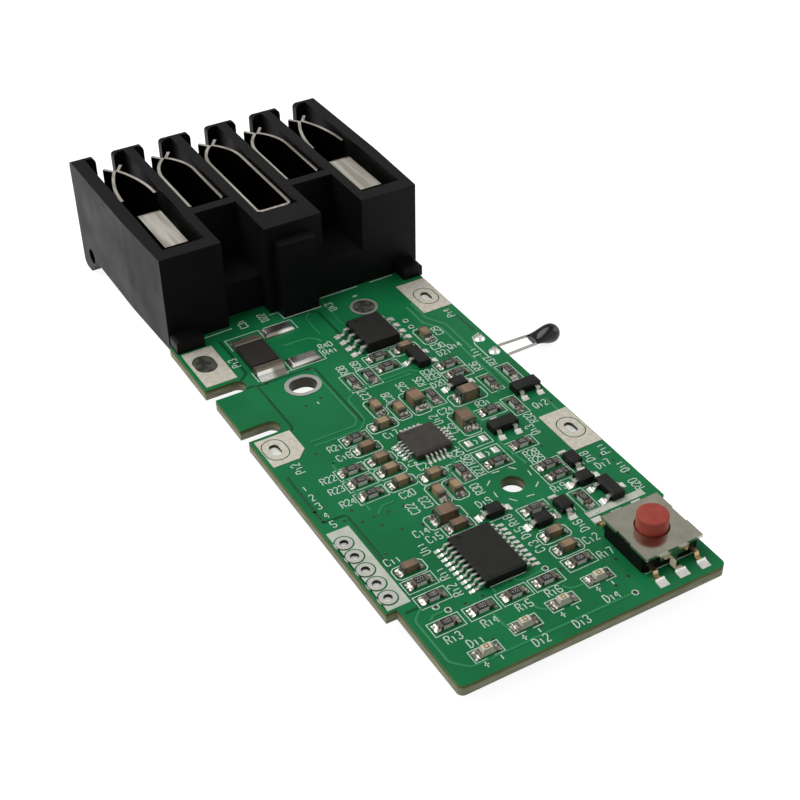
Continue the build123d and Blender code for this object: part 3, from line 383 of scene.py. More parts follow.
def with_inputs(source, tree, values):
    """Adds a Geometry Nodes modifier and sets its named inputs."""
    modifier = source.modifiers.new("shape", "NODES")
    modifier.node_group = tree
    for item in tree.interface.items_tree:
        if item.in_out == "INPUT" and item.name in values:
            modifier[item.identifier] = values[item.name]


def draw(name, paths, width, thick, finish, rise=0.0, corner=0.0):
    """Lines along paths of places in millimetres; a path that ends where it began is closed."""
    points, edges = [], []
    for path in paths:
        closed = len(path) > 2 and path[0] == path[-1]
        used = path[:-1] if closed else path
        first = len(points)
        points += [at(p[0], p[1], p[2] if len(p) > 2 else rise + thick / 2) for p in used]
        edges += [(first + i, first + i + 1) for i in range(len(used) - 1)]
        if closed:
            edges.append((first + len(used) - 1, first))
    mesh = bpy.data.meshes.new(name)
    mesh.from_pydata(points, edges, [])
    source = bpy.data.objects.new(name + "_drawing", mesh)
    bpy.context.scene.collection.objects.link(source)
    sizes = {"Line width": width * MM, "Thickness": thick * MM, "Corner radius": corner * MM}
    with_inputs(source, LINES, {**sizes, "Finish": finish})
    settle(name, source)


print("line tree ready")

# %% [markdown]
# ## The print
# The ink is white epoxy, screened on in lines a little over 0.1 mm wide and a few hundredths thick.
# Each chip has an outline, square for resistors and with cut corners for capacitors.
# The letters are single strokes, as a plotter draws them, so each one is a short list of grid points.

# %% White ink, and letters made of strokes
ink_grain = (0.12, 2.0, 0.01, 0.6)
ink = simple_finish("white_print_ink", "#B9CBBD", (), ink_grain, roughness=0.6, Specular_IOR_Level=0.3)
# A letter's strokes on a grid 4 wide and 6 high: each pair of digits is a point
STROKES = {
    "0": "01 05 16 36 45 41 30 10 01",
    "1": "14 26 20",
    "2": "05 16 36 45 44 00 40",
    "3": "05 16 36 45 44 33 23|33 42 41 30 10 01",
    "4": "30 36 02 42",
    "5": "46 06 03 33 42 41 30 10 01",
    "6": "45 36 16 05 01 10 30 41 42 33 13 02",
    "7": "06 46 20",
    "8": "13 04 05 16 36 45 44 33 13|13 02 01 10 30 41 42 33",
    "9": "01 10 30 41 45 36 16 05 04 13 33 44",
    "R": "00 06 36 45 44 33 03|23 40",
    "C": "45 36 16 05 01 10 30 41",
    "D": "00 06 26 44 42 20 00",
    "Q": "01 05 16 36 45 41 30 10 01|22 40",
    "U": "06 01 10 30 41 46",
    "T": "06 46|26 20",
    "P": "00 06 36 45 44 33 03",
    "+": "03 43|25 21",
    "-": "03 43",
}


# A cell of the grid is narrower than it is high, and the next letter starts after a share of the height
CELL_WIDTH, ADVANCE = 0.68, 0.6


def letters(text, x, y, turn=0, high=0.9):
    """The strokes of a word, centred on a place on the board."""
    step, advance = high / 6, high * ADVANCE
    start = -(len(text) * advance - (advance - 4 * step * CELL_WIDTH)) / 2
    cosine, sine = math.cos(math.radians(turn)), math.sin(math.radians(turn))
    paths = []
    for i, letter in enumerate(text):
        for stroke in STROKES[letter].split("|"):
            path = []
            for pair in stroke.split():
                along = start + i * advance + int(pair[0]) * step * CELL_WIDTH
                up = int(pair[1]) * step - high / 2
                across, ahead = along * cosine - up * sine, along * sine + up * cosine
                path.append((round(x + across, 4), round(y + ahead, 4)))
            paths.append(path)
    return paths


print(len(STROKES), "letters ready")

# %% [markdown]
# ## What is printed where
# Beside each part stands a letter for its kind and a running number, as on any such board.
# The table gives the kind, the place and whether the word is turned to read up the board.

# %% Reference letters
marks = {
    "C": [
        (-11.37, 15.33), (5.52, 8.59), (0.7, 10.22, 90), (-7.24, 17.2), (-6.59, 15.98), (-8.13, 30.3),
        (-2.48, 30.96), (-3.1, 28.35, 90), (-3.02, 26.4, 90), (-5.63, 22.43), (-2.09, 25.09),
        (-6.28, 20.35, 90), (-4.76, 20.5, 90), (4.1, 31.4), (3.09, 28.6, 90), (2.37, 37.04, 90),
        (-1.65, 37.9, 90), (0.2, 36.3, 90), (10.74, 43.87, 90), (9.3, 41.37), (-6.9, 56.0, 90),
    ],
    "R": [
        (-8.46, 11.63, 90), (-8.5, 9.35, 90), (-11.59, 4.67), (-7.93, 4.67), (-4.37, 4.74),
        (-1.22, 4.83), (5.52, 6.41), (0.63, 14.35, 90), (7.09, 15.83), (13.6, 12.5, 90), (-8.24, 31.93),
        (-11.09, 28.02), (-11.13, 26.28), (-11.02, 24.2), (1.39, 25.09), (1.89, 23.67, 90),
        (1.89, 21.8, 90), (7.74, 21.43), (7.7, 20.37), (0.35, 19.6, 90), (8.02, 30.52),
        (10.78, 25.96, 90), (6.0, 36.93), (6.0, 37.95), (4.37, 36.93, 90), (10.8, 36.2, 90),
        (12.65, 36.2, 90), (-1.54, 42.78, 90), (0.09, 42.78, 90), (-0.96, 47.78), (-0.96, 46.6),
    ],
    "D": [
        (-10.2, 3.37), (-5.41, 0.65), (-1.26, 0.65), (2.7, 1.74), (0.63, 12.4, 90), (5.74, 10.43, 90),
        (12.7, 16.5), (12.04, 18.15, 90), (-0.13, 17.7), (5.85, 35.63), (9.3, 40.1), (-4.4, 56.0, 90),
    ],
    "Q": [
        (13.96, 15.2, 90), (12.9, 27.37), (9.87, 24.3, 90), (10.9, 40.6),
    ],
    "U": [
        (-8.28, 15.2, 90), (2.54, 30.63, 90), (3.02, 53.98, 90),
    ],
    "P": [
        (13.95, 18.3, 90), (-12.8, 31.0, 90), (-10.7, 49.85, 90), (13.6, 46.15, 90),
    ],
    "T": [
        (12.04, 38.3, 90),
    ],
}
FIRST_NUMBER = 11
words = []
for kind, places in marks.items():
    for number, spot in enumerate(places, FIRST_NUMBER):
        words += letters(f"{kind}{number}", *spot)
# Poles beside the lamps and at the two wire holes, and plain numbers for the row of header pins
poles = letters("-", -6.3, 39.2, 90) + letters("+", 6.35, 54.5, 90)
for x, y in ((-10.06, 0.72), (-5.7, 1.62), (-1.4, 2.12), (3.0, 3.02)):
    poles += letters("+", x - 0.75, y, high=1.0) + [[(x + 0.8, y - 0.2), (x + 0.8, y + 0.25)]]
for number, y in enumerate((28.15, 26.55, 25.2, 23.75, 22.3), 1):
    words += letters(str(number), -13.6, y)
draw("print_letters", words, width=0.105, thick=0.05, finish=ink, corner=0.06)
draw("print_poles", poles, width=0.12, thick=0.05, finish=ink)

# %% [markdown]
# ## Outlines round the parts
# Outlines follow from the places of the parts, so one small function draws a box, and the rest are
# short lists. Places are the same as in the solid model, in millimetres.


# %% Boxes, brackets and dashes
def frame_box(x, y, wide, high, cut=0.0):
    """A closed box; with a cut, its corners are bevelled."""
    w, h = wide / 2, high / 2
    if not cut:
        return [(x - w, y - h), (x + w, y - h), (x + w, y + h), (x - w, y + h), (x - w, y - h)]
    corners = []
    for sx, sy, flip in ((-1, -1, 0), (1, -1, 1), (1, 1, 0), (-1, 1, 1)):
        pair = [(x + sx * w, y + sy * (h - cut)), (x + sx * (w - cut), y + sy * h)]
        corners += pair[::-1] if flip else pair
    return [*corners, corners[0]]


RESISTORS = [
    (-11.29, 6.25), (-7.75, 6.25), (-4.35, 6.25), (-0.99, 6.25), (-10.67, 11.71), (-10.67, 9.58),
    (-5.85, 32.1), (-8.6, 28.0), (-8.6, 26.1), (-8.6, 24.05), (2.9, 6.76), (3.35, 14.45),
    (8.1, 17.35), (8.1, 19.0), (7.7, 23.0), (4.1, 21.9), (7.96, 29.0), (8.5, 37.9), (8.5, 36.1),
    (2.75, 42.8), (2.75, 40.85),
]
TURNED_RESISTORS = [
    (8.02, 13.2), (0.43, 22.45), (10.6, 28.5), (10.55, 33.0), (13.2, 33.5), (-1.65, 40.35),
    (0.33, 40.35), (4.15, 34.0),
]
CAPACITORS = [
    (-10.6, 13.6), (-5.7, 30.2), (-5.35, 28.0), (-5.35, 26.1), (-5.35, 24.05), (2.95, 10.73),
    (2.93, 8.65), (-3.9, 16.1), (-2.17, 23.35), (-2.5, 32.6), (6.0, 42.75),
]
TURNED_CAPACITORS = [(-3.15, 20.9), (-1.37, 20.7), (-1.76, 35.3), (0.1, 33.8), (9.1, 43.7)]
EMPTY_PLACES = [(4.07, 25.65), (4.1, 23.55)]
outlines = [frame_box(x, y, 3.1, 1.65) for x, y in RESISTORS + EMPTY_PLACES]
outlines += [frame_box(x, y, 1.65, 3.1) for x, y in TURNED_RESISTORS]
outlines += [frame_box(x, y, 3.15, 1.65, 0.3) for x, y in CAPACITORS]
outlines += [frame_box(x, y, 1.6, 3.1, 0.3) for x, y in TURNED_CAPACITORS]
outlines += [frame_box(-4.3, 17.75, 4.0, 1.95, 0.3), frame_box(7.3, 32.25, 4.0, 2.0, 0.3)]
outlines += [frame_box(2.15, 34.1, 1.95, 4.0, 0.3), frame_box(4.7, 28.75, 1.95, 4.0, 0.3)]
# The lamps' boxes are open for a stretch at their near side
LAMPS = [(-10.06, 1.95), (-5.58, 2.86), (-1.3, 3.37), (3.1, 4.22)]
for x, y in LAMPS:
    left = [(x - 0.35, y - 0.7), (x - 1.45, y - 0.7), (x - 1.45, y + 0.7)]
    outlines.append(left + [(x + 1.45, y + 0.7), (x + 1.45, y - 0.7), (x + 0.35, y - 0.7)])
# The ends of the large chips, the shunt's place and the housing's outline
outlines += [
    [(-5.6, 8.45), (-5.6, 8.08), (-2.0, 8.08), (-2.0, 8.45)],
    [(-5.6, 14.9), (-5.6, 15.35), (-2.3, 15.35), (-2.3, 14.9)],
    [(-2.75, 26.1), (-2.75, 25.6), (-2.3, 25.6)],
    [(1.5, 25.6), (1.95, 25.6), (1.95, 26.1)],
    [(1.5, 30.4), (1.95, 30.4), (1.95, 29.9)],
    [(2.0, 43.9), (6.2, 43.9)],
    [(2.2, 49.1), (6.2, 49.1)],
    [(-9.9, 51.9), (-9.9, 54.1), (-5.9, 54.1), (-5.9, 52.3)],
    [(-5.3, 54.1), (-1.95, 54.1), (-1.95, 52.2)],
    [(-9.9, 47.3), (-9.9, 45.6), (-1.95, 45.6), (-1.95, 47.4)],
    [(-6.05, 45.6), (-6.05, 47.3)],
    [(-11.8, 55.75), (-8.2, 55.9)],
    [(-3.5, 56.1), (-2.5, 56.1), (-2.4, 54.65), (2.2, 54.65)],
    [(2.9, 56.15), (7.6, 56.15)],
    [(9.2, 56.15), (12.2, 56.15)],
    [(6.9, 2.45), (12.7, 2.45)],
    [(12.9, 36.9), (12.9, 39.6), (13.4, 40.9), (14.4, 41.2)],
]
# Small brackets round the diodes and the transistors
for x, y in ((2.95, 12.65), (9.6, 15.45), (-0.2, 15.95), (7.4, 34.25)):
    outlines += [[(x - 0.9, y + side * 0.85), (x + 0.9, y + side * 0.85)] for side in (-1, 1)]
for x, y in ((5.75, 13.35), (10.3, 18.25)):
    outlines += [[(x + side * 0.85, y - 0.9), (x + side * 0.85, y + 0.9)] for side in (-1, 1)]
# Eight dashes round the screw hole, and a curved mark between the lands of each empty place
DASHES, DASH_RADIUS = 8, 2.3
for i in range(DASHES):
    angle = math.radians(360 / DASHES * i + 12)
    middle_x, middle_y = HOLE_X + DASH_RADIUS * math.cos(angle), HOLE_Y + DASH_RADIUS * math.sin(angle)
    lean = angle + math.radians(70)
    outlines.append([(middle_x + t * math.cos(lean), middle_y + t * math.sin(lean)) for t in (-0.4, 0.4)])
for x, y in EMPTY_PLACES:
    outlines.append([(x - 0.1, y + 0.35), (x + 0.1, y + 0.12), (x + 0.1, y - 0.12), (x - 0.1, y - 0.35)])
draw("print_outlines", outlines, width=0.12, thick=0.03, finish=ink)

# %% [markdown]
# ## Solid print
# The header row stands on a solid printed strip with a round window for each ring, and a solid bar
# marks the switch. A flat filled curve handles the windows by itself: an outline inside another is a hole.


# %% Filled plates of ink
def circle(x, y, radius, count=28):
    """Places round a circle."""
    angles = [math.tau * i / count for i in range(count)]
    return [(x + radius * math.cos(a), y + radius * math.sin(a)) for a in angles]


def plate(name, loops, thick, finish, rise=0.0):
    """A flat plate from closed loops in millimetres; loops inside others are windows."""
    flat = bpy.data.curves.new(name, "CURVE")
    flat.dimensions, flat.fill_mode, flat.extrude = "2D", "BOTH", thick * MM / 2
    for loop in loops:
        line = flat.splines.new("POLY")
        line.points.add(len(loop) - 1)
        for point, (x, y) in zip(line.points, loop):
            point.co = (*at(x, y)[:2], 0, 1)
        line.use_cyclic_u = True
    source = bpy.data.objects.new(name + "_flat", flat)
    bpy.context.scene.collection.objects.link(source)
    made = settle(name, source)
    made.data.transform(Matrix.Translation((0, 0, (rise + thick / 2) * MM)))
    made.data.materials.append(finish)


HEADER = [(-13.98, 11.56 + 2 * i) for i in range(5)]
strip = [[(-14.82, 10.17), (-12.5, 10.17), (-12.5, 21.44), (-14.82, 21.44)]]
strip += [circle(x, y, 0.98) for x, y in HEADER]
strip.append([(7.02, 10.9), (13.54, 10.9), (13.54, 11.73), (7.02, 11.73)])
worn = ("#ABAFA2", "#BCC0B3", 1.5, 3.0)
block_ink = simple_finish(
    "worn_print_block", "#B3B7AA", (), ink_grain, worn, roughness=0.6, Specular_IOR_Level=0.25
)
plate("print_blocks", strip, thick=0.03, finish=block_ink)

# %% [markdown]
# ## Tracks under the mask
# Copper tracks lift the mask by a few hundredths of a millimetre and look lighter through it.
# They use the same line tree as the print, with the mask's own lighter green.

# %% Tracks and darker channels
mask_grain = (0.35, 2.0, 0.004, 0.5)
track_green = simple_finish("mask_over_copper", "#2A7D4E", (), mask_grain, roughness=0.32, **MASK_GLOSS)
tracks = [
    [(-12.2, 9.0), (-13.35, 8.0), (-13.35, 2.5), (-12.0, 1.1), (4.5, 1.1)],
    [(-12.2, 7.3), (-11.9, 7.7), (-10.5, 7.7)],
    [(-5.6, 7.9), (-5.6, 7.3)],
    [(-3.4, 7.9), (-2.9, 7.3), (-0.4, 7.5)],
    [(-7.2, 5.4), (-7.1, 3.6), (-6.8, 3.0)],
    [(-3.6, 5.0), (-3.6, 3.9), (-3.0, 3.3)],
    [(-0.2, 5.0), (0.2, 4.3), (1.5, 4.2)],
    [(0.4, 12.3), (0.9, 12.3)],
    [(-7.4, 30.2), (-9.4, 30.2), (-9.7, 29.9), (-9.7, 22.2)],
    [(-7.2, 22.2), (-8.6, 22.2), (-9.3, 21.4)],
    [(-1.2, 22.4), (2.4, 26.0)],
    [(-9.9, 33.2), (-4.6, 33.2), (-3.5, 34.4), (-3.5, 38.2), (-2.6, 38.6), (4.4, 38.6)],
    [(-9.9, 34.0), (-4.9, 34.0), (-4.2, 34.8), (-4.2, 44.0)],
    [(-2.7, 39.2), (4.6, 39.2), (5.2, 38.6)],
    [(10.2, 31.0), (11.4, 32.2), (11.4, 44.0), (10.2, 46.0), (10.2, 49.6)],
    [(12.2, 30.9), (12.2, 44.5), (11.0, 46.6), (11.0, 50.0)],
    [(2.6, 50.3), (2.6, 55.5)],
    [(-0.4, 49.9), (-0.4, 53.5), (0.4, 54.3)],
    [(-4.9, 50.0), (-1.8, 50.0), (-0.9, 49.0), (-0.9, 48.6)],
    [(13.9, 24.8), (13.9, 27.9)],
    [(6.5, 20.3), (6.0, 24.6), (6.9, 25.2)],
    [(5.2, 27.2), (6.3, 27.9), (6.3, 31.0)],
]
draw("copper_tracks", tracks, width=0.28, thick=0.035, finish=track_green, corner=0.9)
channel_green = finish_named("mask_between_copper", "#0E4C2A", roughness=0.32, **MASK_GLOSS)[0]
channels = [
    [(-14.3, 30.4), (-14.3, 22.9), (-12.0, 22.9), (-12.0, 9.2), (-13.6, 9.2)],
    [(-12.4, 36.6), (-10.4, 36.6), (-10.4, 45.2), (-11.6, 45.2)],
    [(-3.9, 34.2), (-3.9, 45.0), (-10.3, 45.0)],
    [(-11.6, 46.6), (-10.4, 47.6), (-10.4, 54.4)],
    [(9.4, 38.6), (9.4, 42.0)],
    [(1.4, 44.6), (1.4, 53.9), (0.6, 54.4), (-1.5, 54.4)],
    [(14.2, 41.9), (14.2, 45.4)],
    [(-2.2, 4.9), (-2.2, 5.1)],
    [(4.9, 20.6), (4.9, 22.9)],
]
draw("mask_channels", channels, width=0.3, thick=0.012, finish=channel_green, corner=0.5)

# %% [markdown]
# ## Covered holes
# Small plated holes join the two sides of the board. Most are covered by the mask and show as dark
# dots; a few have a bare ring. Many equal things at given places are instances: a tree puts one small
# turned shape on each point.


# %% The tree that stands copies on points
def copies_tree():
    """Puts one shape on every point of a drawing and makes the copies real."""
    made = bpy.data.node_groups.new("copies_on_points", "GeometryNodeTree")
    sockets = made.interface
    sockets.new_socket("Places", in_out="INPUT", socket_type="NodeSocketGeometry")
    sockets.new_socket("Shape", in_out="INPUT", socket_type="NodeSocketObject")
    sockets.new_socket("Finish", in_out="INPUT", socket_type="NodeSocketMaterial")
    sockets.new_socket("Copies", in_out="OUTPUT", socket_type="NodeSocketGeometry")
    given = made.nodes.new("NodeGroupInput").outputs
    shape = add(made, "GeometryNodeObjectInfo", Object=given["Shape"], As_Instance=True)
    parts = {"Points": given["Places"], "Instance": shape.outputs["Geometry"]}
    copies = add(made, "GeometryNodeInstanceOnPoints", **parts)
    coloured = realised(made, copies, given["Finish"])
    made.links.new(coloured, made.nodes.new("NodeGroupOutput").inputs[0])
    return made


COPIES = copies_tree()


def turned(name, profile, steps=24):
    """A shape turned about its own upright axis from (radius, height) pairs in millimetres."""
    mesh = bmesh.new()
    rings = []
    for radius, high in profile:
        if radius == 0:
            rings.append([mesh.verts.new((0, 0, high * MM))])
            continue
        ring = []
        for i in range(steps):
            angle = math.tau * i / steps
            x, y = radius * MM * math.cos(angle), radius * MM * math.sin(angle)
            ring.append(mesh.verts.new((x, y, high * MM)))
        rings.append(ring)
    for low, high in zip(rings, rings[1:]):
        for i in range(steps):
            j = (i + 1) % steps
            corners = [low[i % len(low)], low[j % len(low)], high[j % len(high)], high[i % len(high)]]
            corners = [c for k, c in enumerate(corners) if c is not corners[k - 1]]
            mesh.faces.new(corners)
    bmesh.ops.recalc_face_normals(mesh, faces=mesh.faces)
    data = bpy.data.meshes.new(name)
    mesh.to_mesh(data)
    mesh.free()
    for polygon in data.polygons:
        polygon.use_smooth = True
    return bpy.data.objects.new(name, data)


def stand(name, places, shape, finish):
    """Copies of a shape at places in millimetres."""
    mesh = bpy.data.meshes.new(name)
    mesh.from_pydata([at(*place) for place in places], [], [])
    source = bpy.data.objects.new(name + "_places", mesh)
    bpy.context.scene.collection.objects.link(source)
    with_inputs(source, COPIES, {"Shape": shape, "Finish": finish})
    settle(name, source)
    bpy.data.objects.remove(shape)


COVERED = [
    (-8.6, 7.55), (-6.83, 7.56), (-2.56, 7.2), (0.9, 6.77), (-8.85, 2.8), (-4.5, 2.0), (3.85, 2.6),
    (5.45, 3.0), (5.8, 5.3), (-12.65, 16.05), (-11.4, 16.4), (-8.5, 18.5), (-9.8, 19.9),
    (-6.6, 18.0), (-11.15, 21.2), (-9.9, 21.3), (-8.4, 21.2), (-6.8, 21.2), (-11.25, 23.1),
    (-14.3, 24.65), (-14.3, 23.0), (-12.5, 22.2), (13.95, 14.2), (13.9, 16.4), (13.2, 17.6),
    (9.2, 21.8), (13.6, 20.8), (-10.3, 32.1), (-7.6, 39.4), (-5.7, 39.8), (-9.4, 44.85),
    (-4.5, 44.85), (12.6, 26.9), (14.2, 27.3), (12.0, 34.6), (-12.2, 32.7),
]
RINGED = [(-11.0, 8.5), (-10.27, 7.67), (-0.23, 7.56), (4.75, 1.1), (8.8, 47.35), (8.73, 46.04), (8.1, 11.3)]
dark_hole = finish_named("dark_hole", "#06120B", roughness=0.6)[0]
bare_ring = finish_named("ringed_hole_tin", "#9FB3A2", metallic=0.6, roughness=0.4)[0]
small_dot = turned("dot", [(0, 0.012), (0.15, 0.012), (0.17, 0)], 14)
stand("covered_holes", COVERED, small_dot, dark_hole)
ring = turned("ring", [(0.2, 0.0), (0.22, 0.04), (0.33, 0.04), (0.36, 0)], 20)
stand("ringed_hole_rings", RINGED, ring, bare_ring)
# Inside each bare ring a dark dot is painted shade of the open hole
large_dot = turned("dot", [(0, 0.012), (0.2, 0.012), (0.21, 0)], 14)
stand("ringed_hole_dots", RINGED, large_dot, dark_hole)

# %% [markdown]
# ## Plating inside the holes
# The holes of the header and the slots for the cells' tabs are plated through. The plating is a
# few hundredths thick; its colour is painted dark near the top and pale lower down, as painted reflections of
# the dark room and the white ground.

# %% Thin barrels in the header holes and the slots
plating, tree, shader = finish_named("hole_plating_tin", "#D8D8D0", metallic=0.6, roughness=0.3)
# Painted reflection: the barrel's colour runs from dark near the top to pale lower down, by height
DARK_ABOVE, BRIGHT_BELOW = -0.24 * MM, -0.34 * MM
depth = upward_part(tree, add(tree, "ShaderNodeTexCoord").outputs["Object"])
painted_reflection_blend = spread(tree, depth, BRIGHT_BELOW, DARK_ABOVE, 0, 1)
tint(tree, shader, blend_colours(tree, painted_reflection_blend, "#F2F2EC", "#1B1C14"))
relief(tree, shader, noise(tree, 0.4, 2.0), 0.02, 0.5)


def barrel(x, y, radius, straight=0.0, wall=0.03, steps=24):
    """The inner and outer outline of a plated hole; a straight stretch makes it a slot along y."""
    loops = []
    for size in (radius, radius - wall):
        loop = []
        for i in range(steps):
            angle = math.tau * (i + 0.5) / steps
            shift = straight / 2 * (1 if math.sin(angle) > 0 else -1)
            loop.append((x + size * math.cos(angle), y + size * math.sin(angle) + shift))
        loops.append(loop)
    return loops


SLOTS = [(-13.4, 34.65), (13.33, 22.65), (13.2, 50.3)]
barrels = [loop for x, y in HEADER for loop in barrel(x, y, 0.41)]
barrels += [loop for x, y in SLOTS for loop in barrel(x, y, 0.49, 0.7)]
# The barrels end just inside both faces of the board
END_GAP = 0.02
depth_mm = BOARD_THICK / MM - 2 * END_GAP
plate("hole_plating", barrels, depth_mm, plating, rise=-END_GAP - depth_mm)

# %% [markdown]
# ## Soldered tails on the underside
# The contacts' flat tails come through the board and are soldered below. Each joint is a hollow cone
# of solder that climbs the tail, so one turned profile serves all of them.

# %% Solder cones below the board
solder, tree, shader = finish_named("bright_solder", "#E2E0DA", metallic=0.6, roughness=0.28)
frost = spread(tree, noise(tree, 0.5, 3.0), 0.35, 0.65, 0.2, 0.34)
tree.links.new(frost, shader.inputs["Roughness"])
relief(tree, shader, noise(tree, 1.1, 1.0), 0.05, 0.5)
# For each kind of contact: half the gap between its tails, and how far up the board they stand
OUTER, INNER, MIDDLE = (1.15, 61.4, 66.9), (1.95, 66.78, 71.8), (1.95, 61.88, 71.8)
MIDDLE_X, CONTACT_PITCH = 0.2, 5.94
tails = []
for i, (half, first, last) in zip(range(-2, 3), (OUTER, INNER, MIDDLE, INNER, OUTER)):
    x = MIDDLE_X + CONTACT_PITCH * i
    tails += [(x + side * half, y, -BOARD_THICK / MM) for side in (-1, 1) for y in (first, last)]
cone = turned("cone", [(0.95, 0), (0.85, -0.12), (0.62, -0.45), (0.5, -0.95), (0, -1.0)])
stand("tail_solder", tails, cone, solder)

# %% [markdown]
# ## Black moulded housing
# The housing is glass-filled nylon or PBT, moulded with a finely sparked surface. Such black plastic
# is not quite black: its fine grain scatters a grey sheen at low angles.

# %% Sparked black plastic
sheen = {"Sheen_Weight": 0.008, "Sheen_Roughness": 0.5}
housing_finish, tree, shader = finish_named("sparked_black_pbt", "#080808", Specular_IOR_Level=0.11, **sheen)
tree.links.new(spread(tree, noise(tree, 5.0, 3.0), 0.3, 0.7, 0.4, 0.54), shader.inputs["Roughness"])
tint(tree, shader, mottle(tree, "#040404", "#090808", 7.0, 3.0))
relief(tree, shader, noise(tree, 0.28, 3.0, 0.7), 0.02, 0.5)
wear("terminal_housing", housing_finish)
wear("switch_base", housing_finish)

# %% [markdown]
# ## Metals
# Five metals show: tinned spring bronze on the contacts, rolled steel and brass on the switch, tin on
# leads and chip ends, and solder. What tells them apart is tint, roughness and marks. Old solder and tin
# pads are less metallic than sheet metal, since flux and a skin of oxide scatter some of the light.

# %% Contacts, switch cover, leads and pads
# Steep faces are painted dark, as painted shade of the dark space between the leaves; only faces that lie
# flat, such as the bent web, keep the bright tin
contact_finish, tree, shader = finish_named("tinned_spring_bronze", "#CFC8BA", metallic=1.0, roughness=0.3)
rolled = noise(tree, 0.7, 2.0, 0.5, stretch=(1, 0.12, 0.12))
tree.links.new(spread(tree, rolled, 0.3, 0.7, 0.26, 0.36), shader.inputs["Roughness"])
streaks = spread(tree, noise(tree, 0.8, 2.0, stretch=(1, 0.08, 0.08)), 0.35, 0.65, 0.0, 1.0)
bright_tin = blend_colours(tree, streaks, "#B9B1A3", "#EBE5D9")
tint(tree, shader, blend_colours(tree, faces_up(tree, 0.15, 0.6), "#3B362D", bright_tin))
relief(tree, shader, rolled, 0.003, 0.4)
for i in range(1, 6):
    wear(f"contact_{i}", contact_finish)
cover_finish, tree, shader = finish_named("satin_rolled_steel", "#B7B5A4", metallic=1.0)
rolled = noise(tree, 0.35, 4.0, 0.6, stretch=(0.08, 1, 1))
tree.links.new(spread(tree, rolled, 0.3, 0.7, 0.12, 0.2), shader.inputs["Roughness"])
tint(tree, shader, mottle(tree, "#ABA999", "#BFBDAB", 1.6, 4.0))
relief(tree, shader, rolled, 0.004, 0.5)
wear("switch_cover", cover_finish)
leads = ("control_leads", "meter_leads", "gate_leads", "transistor_leads", "diode_leads", "switch_dome")
soft_dents = (0.3, 2.0, 0.02, 0.5)
simple_finish("tinned_lead", "#DEDBD3", leads, soft_dents, metallic=0.7, roughness=0.25)
simple_finish("warm_tinned_brass", "#BFA57A", ("switch_terminals",), soft_dents, metallic=1.0, roughness=0.28)
wire_finish, tree, shader = finish_named("drawn_tinned_wire", "#A19D95", metallic=0.7, roughness=0.36)
relief(tree, shader, noise(tree, 0.2, 2.0, stretch=(0.1, 1, 1)), 0.01, 0.4)
wear("sensor_legs", wire_finish)
ends = ("resistor_ends", "capacitor_ends", "large_capacitor_ends", "shunt_ends")
end_grain = (0.18, 3.0, 0.02, 0.6)
end_finish = simple_finish("matt_tin_ends", "#6F675B", ends, end_grain, metallic=0.8, roughness=0.4)
for name in ("lead_solder", "bare_pads", "sensor_solder"):
    wear(name, solder)
# The large pools on the spare lands are smooth, with broad patches of light and dark painted into their
# colour as painted reflections
patches = ("#8B867D", "#E4E1DA", 2.2, 0.0, 0.4, 0.6)
pool_waves = (1.4, 0.0, 0.04, 0.5)
simple_finish(
    "pooled_solder", "#C9C6BF", ("land_solder",), pool_waves, patches, metallic=0.9, roughness=0.24
)
# The small fillets at the chips' ends are painted dull and dark, with painted bright glints between, as
# painted reflections
painted_glints = ("#55514A", "#BDB9B1", 0.3, 2.0, 0.44, 0.6)
fillet_lumps = (0.35, 2.0, 0.04, 0.6)
simple_finish(
    "dull_solder_painted_glints", "#7D786F", ("chip_solder",), fillet_lumps, painted_glints, metallic=1.0, roughness=0.35
)
patches = ("#B8B1A2", "#CEC9BB", 0.5, 4.0)
pad_grain = (0.25, 3.0, 0.02, 0.6)
simple_finish(
    "levelled_tin_pad", "#B9AE9F", ("cell_pads",), pad_grain, patches, metallic=0.3, roughness=0.5
)
# The rings are bright on top, and the barrels below them are painted dark, as painted reflection of the dark
# inside of the holes
ring_finish, tree, shader = finish_named("bright_tin_rings", "#CFCFC8", metallic=0.8, roughness=0.3)
tint(tree, shader, blend_colours(tree, faces_up(tree, 0.2, 0.7), "#34342A", "#D6D6CE"))
relief(tree, shader, noise(tree, 0.4, 2.0), 0.02, 0.5)
wear("plated_holes", ring_finish)

# %% [markdown]
# ## Moulded chips, ceramics and the button
# Chip compound is charcoal with a fine matt grain. Resistors carry a black glaze, capacitors are bare
# ceramic from tan to brown, and the button is a matt red-brown moulding.

# %% Chips, ceramics, lamps, bead and button
chip_finish, tree, shader = finish_named(
    "chip_moulding_compound", "#1B1918", roughness=0.5, Specular_IOR_Level=0.22
)
mottled_top = mottle(tree, "#131211", "#1B1A17", 1.2, 4.0)
# Painted shade: steep sides are painted near black, while the mottled tops keep the compound's own tone
tint(tree, shader, blend_colours(tree, faces_up(tree, 0.2, 0.7), "#080807", mottled_top))
relief(tree, shader, noise(tree, 0.12, 3.0), 0.015, 0.7)
for name in ("meter_chip", "gate_chip", "transistor_bodies", "diode_bodies"):
    wear(name, chip_finish)
coat_grain, chip_grain, resin_lumps = (0.2, 3.0, 0.02, 0.7), (0.12, 3.0, 0.015, 0.7), (0.5, 3.0, 0.04, 0.7)
smooth = {"roughness": 0.4, "Specular_IOR_Level": 0.4}
simple_finish("shunt_coating", "#1E1917", ("shunt_body",), coat_grain, **smooth)
patches = ("#2B2824", "#3A3630", 1.0, 4.0)
dull = {"roughness": 0.48, "Specular_IOR_Level": 0.3}
simple_finish("worn_chip_compound", "#33302B", ("control_chip",), chip_grain, patches, **dull)
patches = ("#1B1C16", "#494A40", 0.8, 2.0, 0.42, 0.6)
simple_finish("dark_resin_filling", "#33342E", ("hole_plugs",), resin_lumps, patches, roughness=0.5)
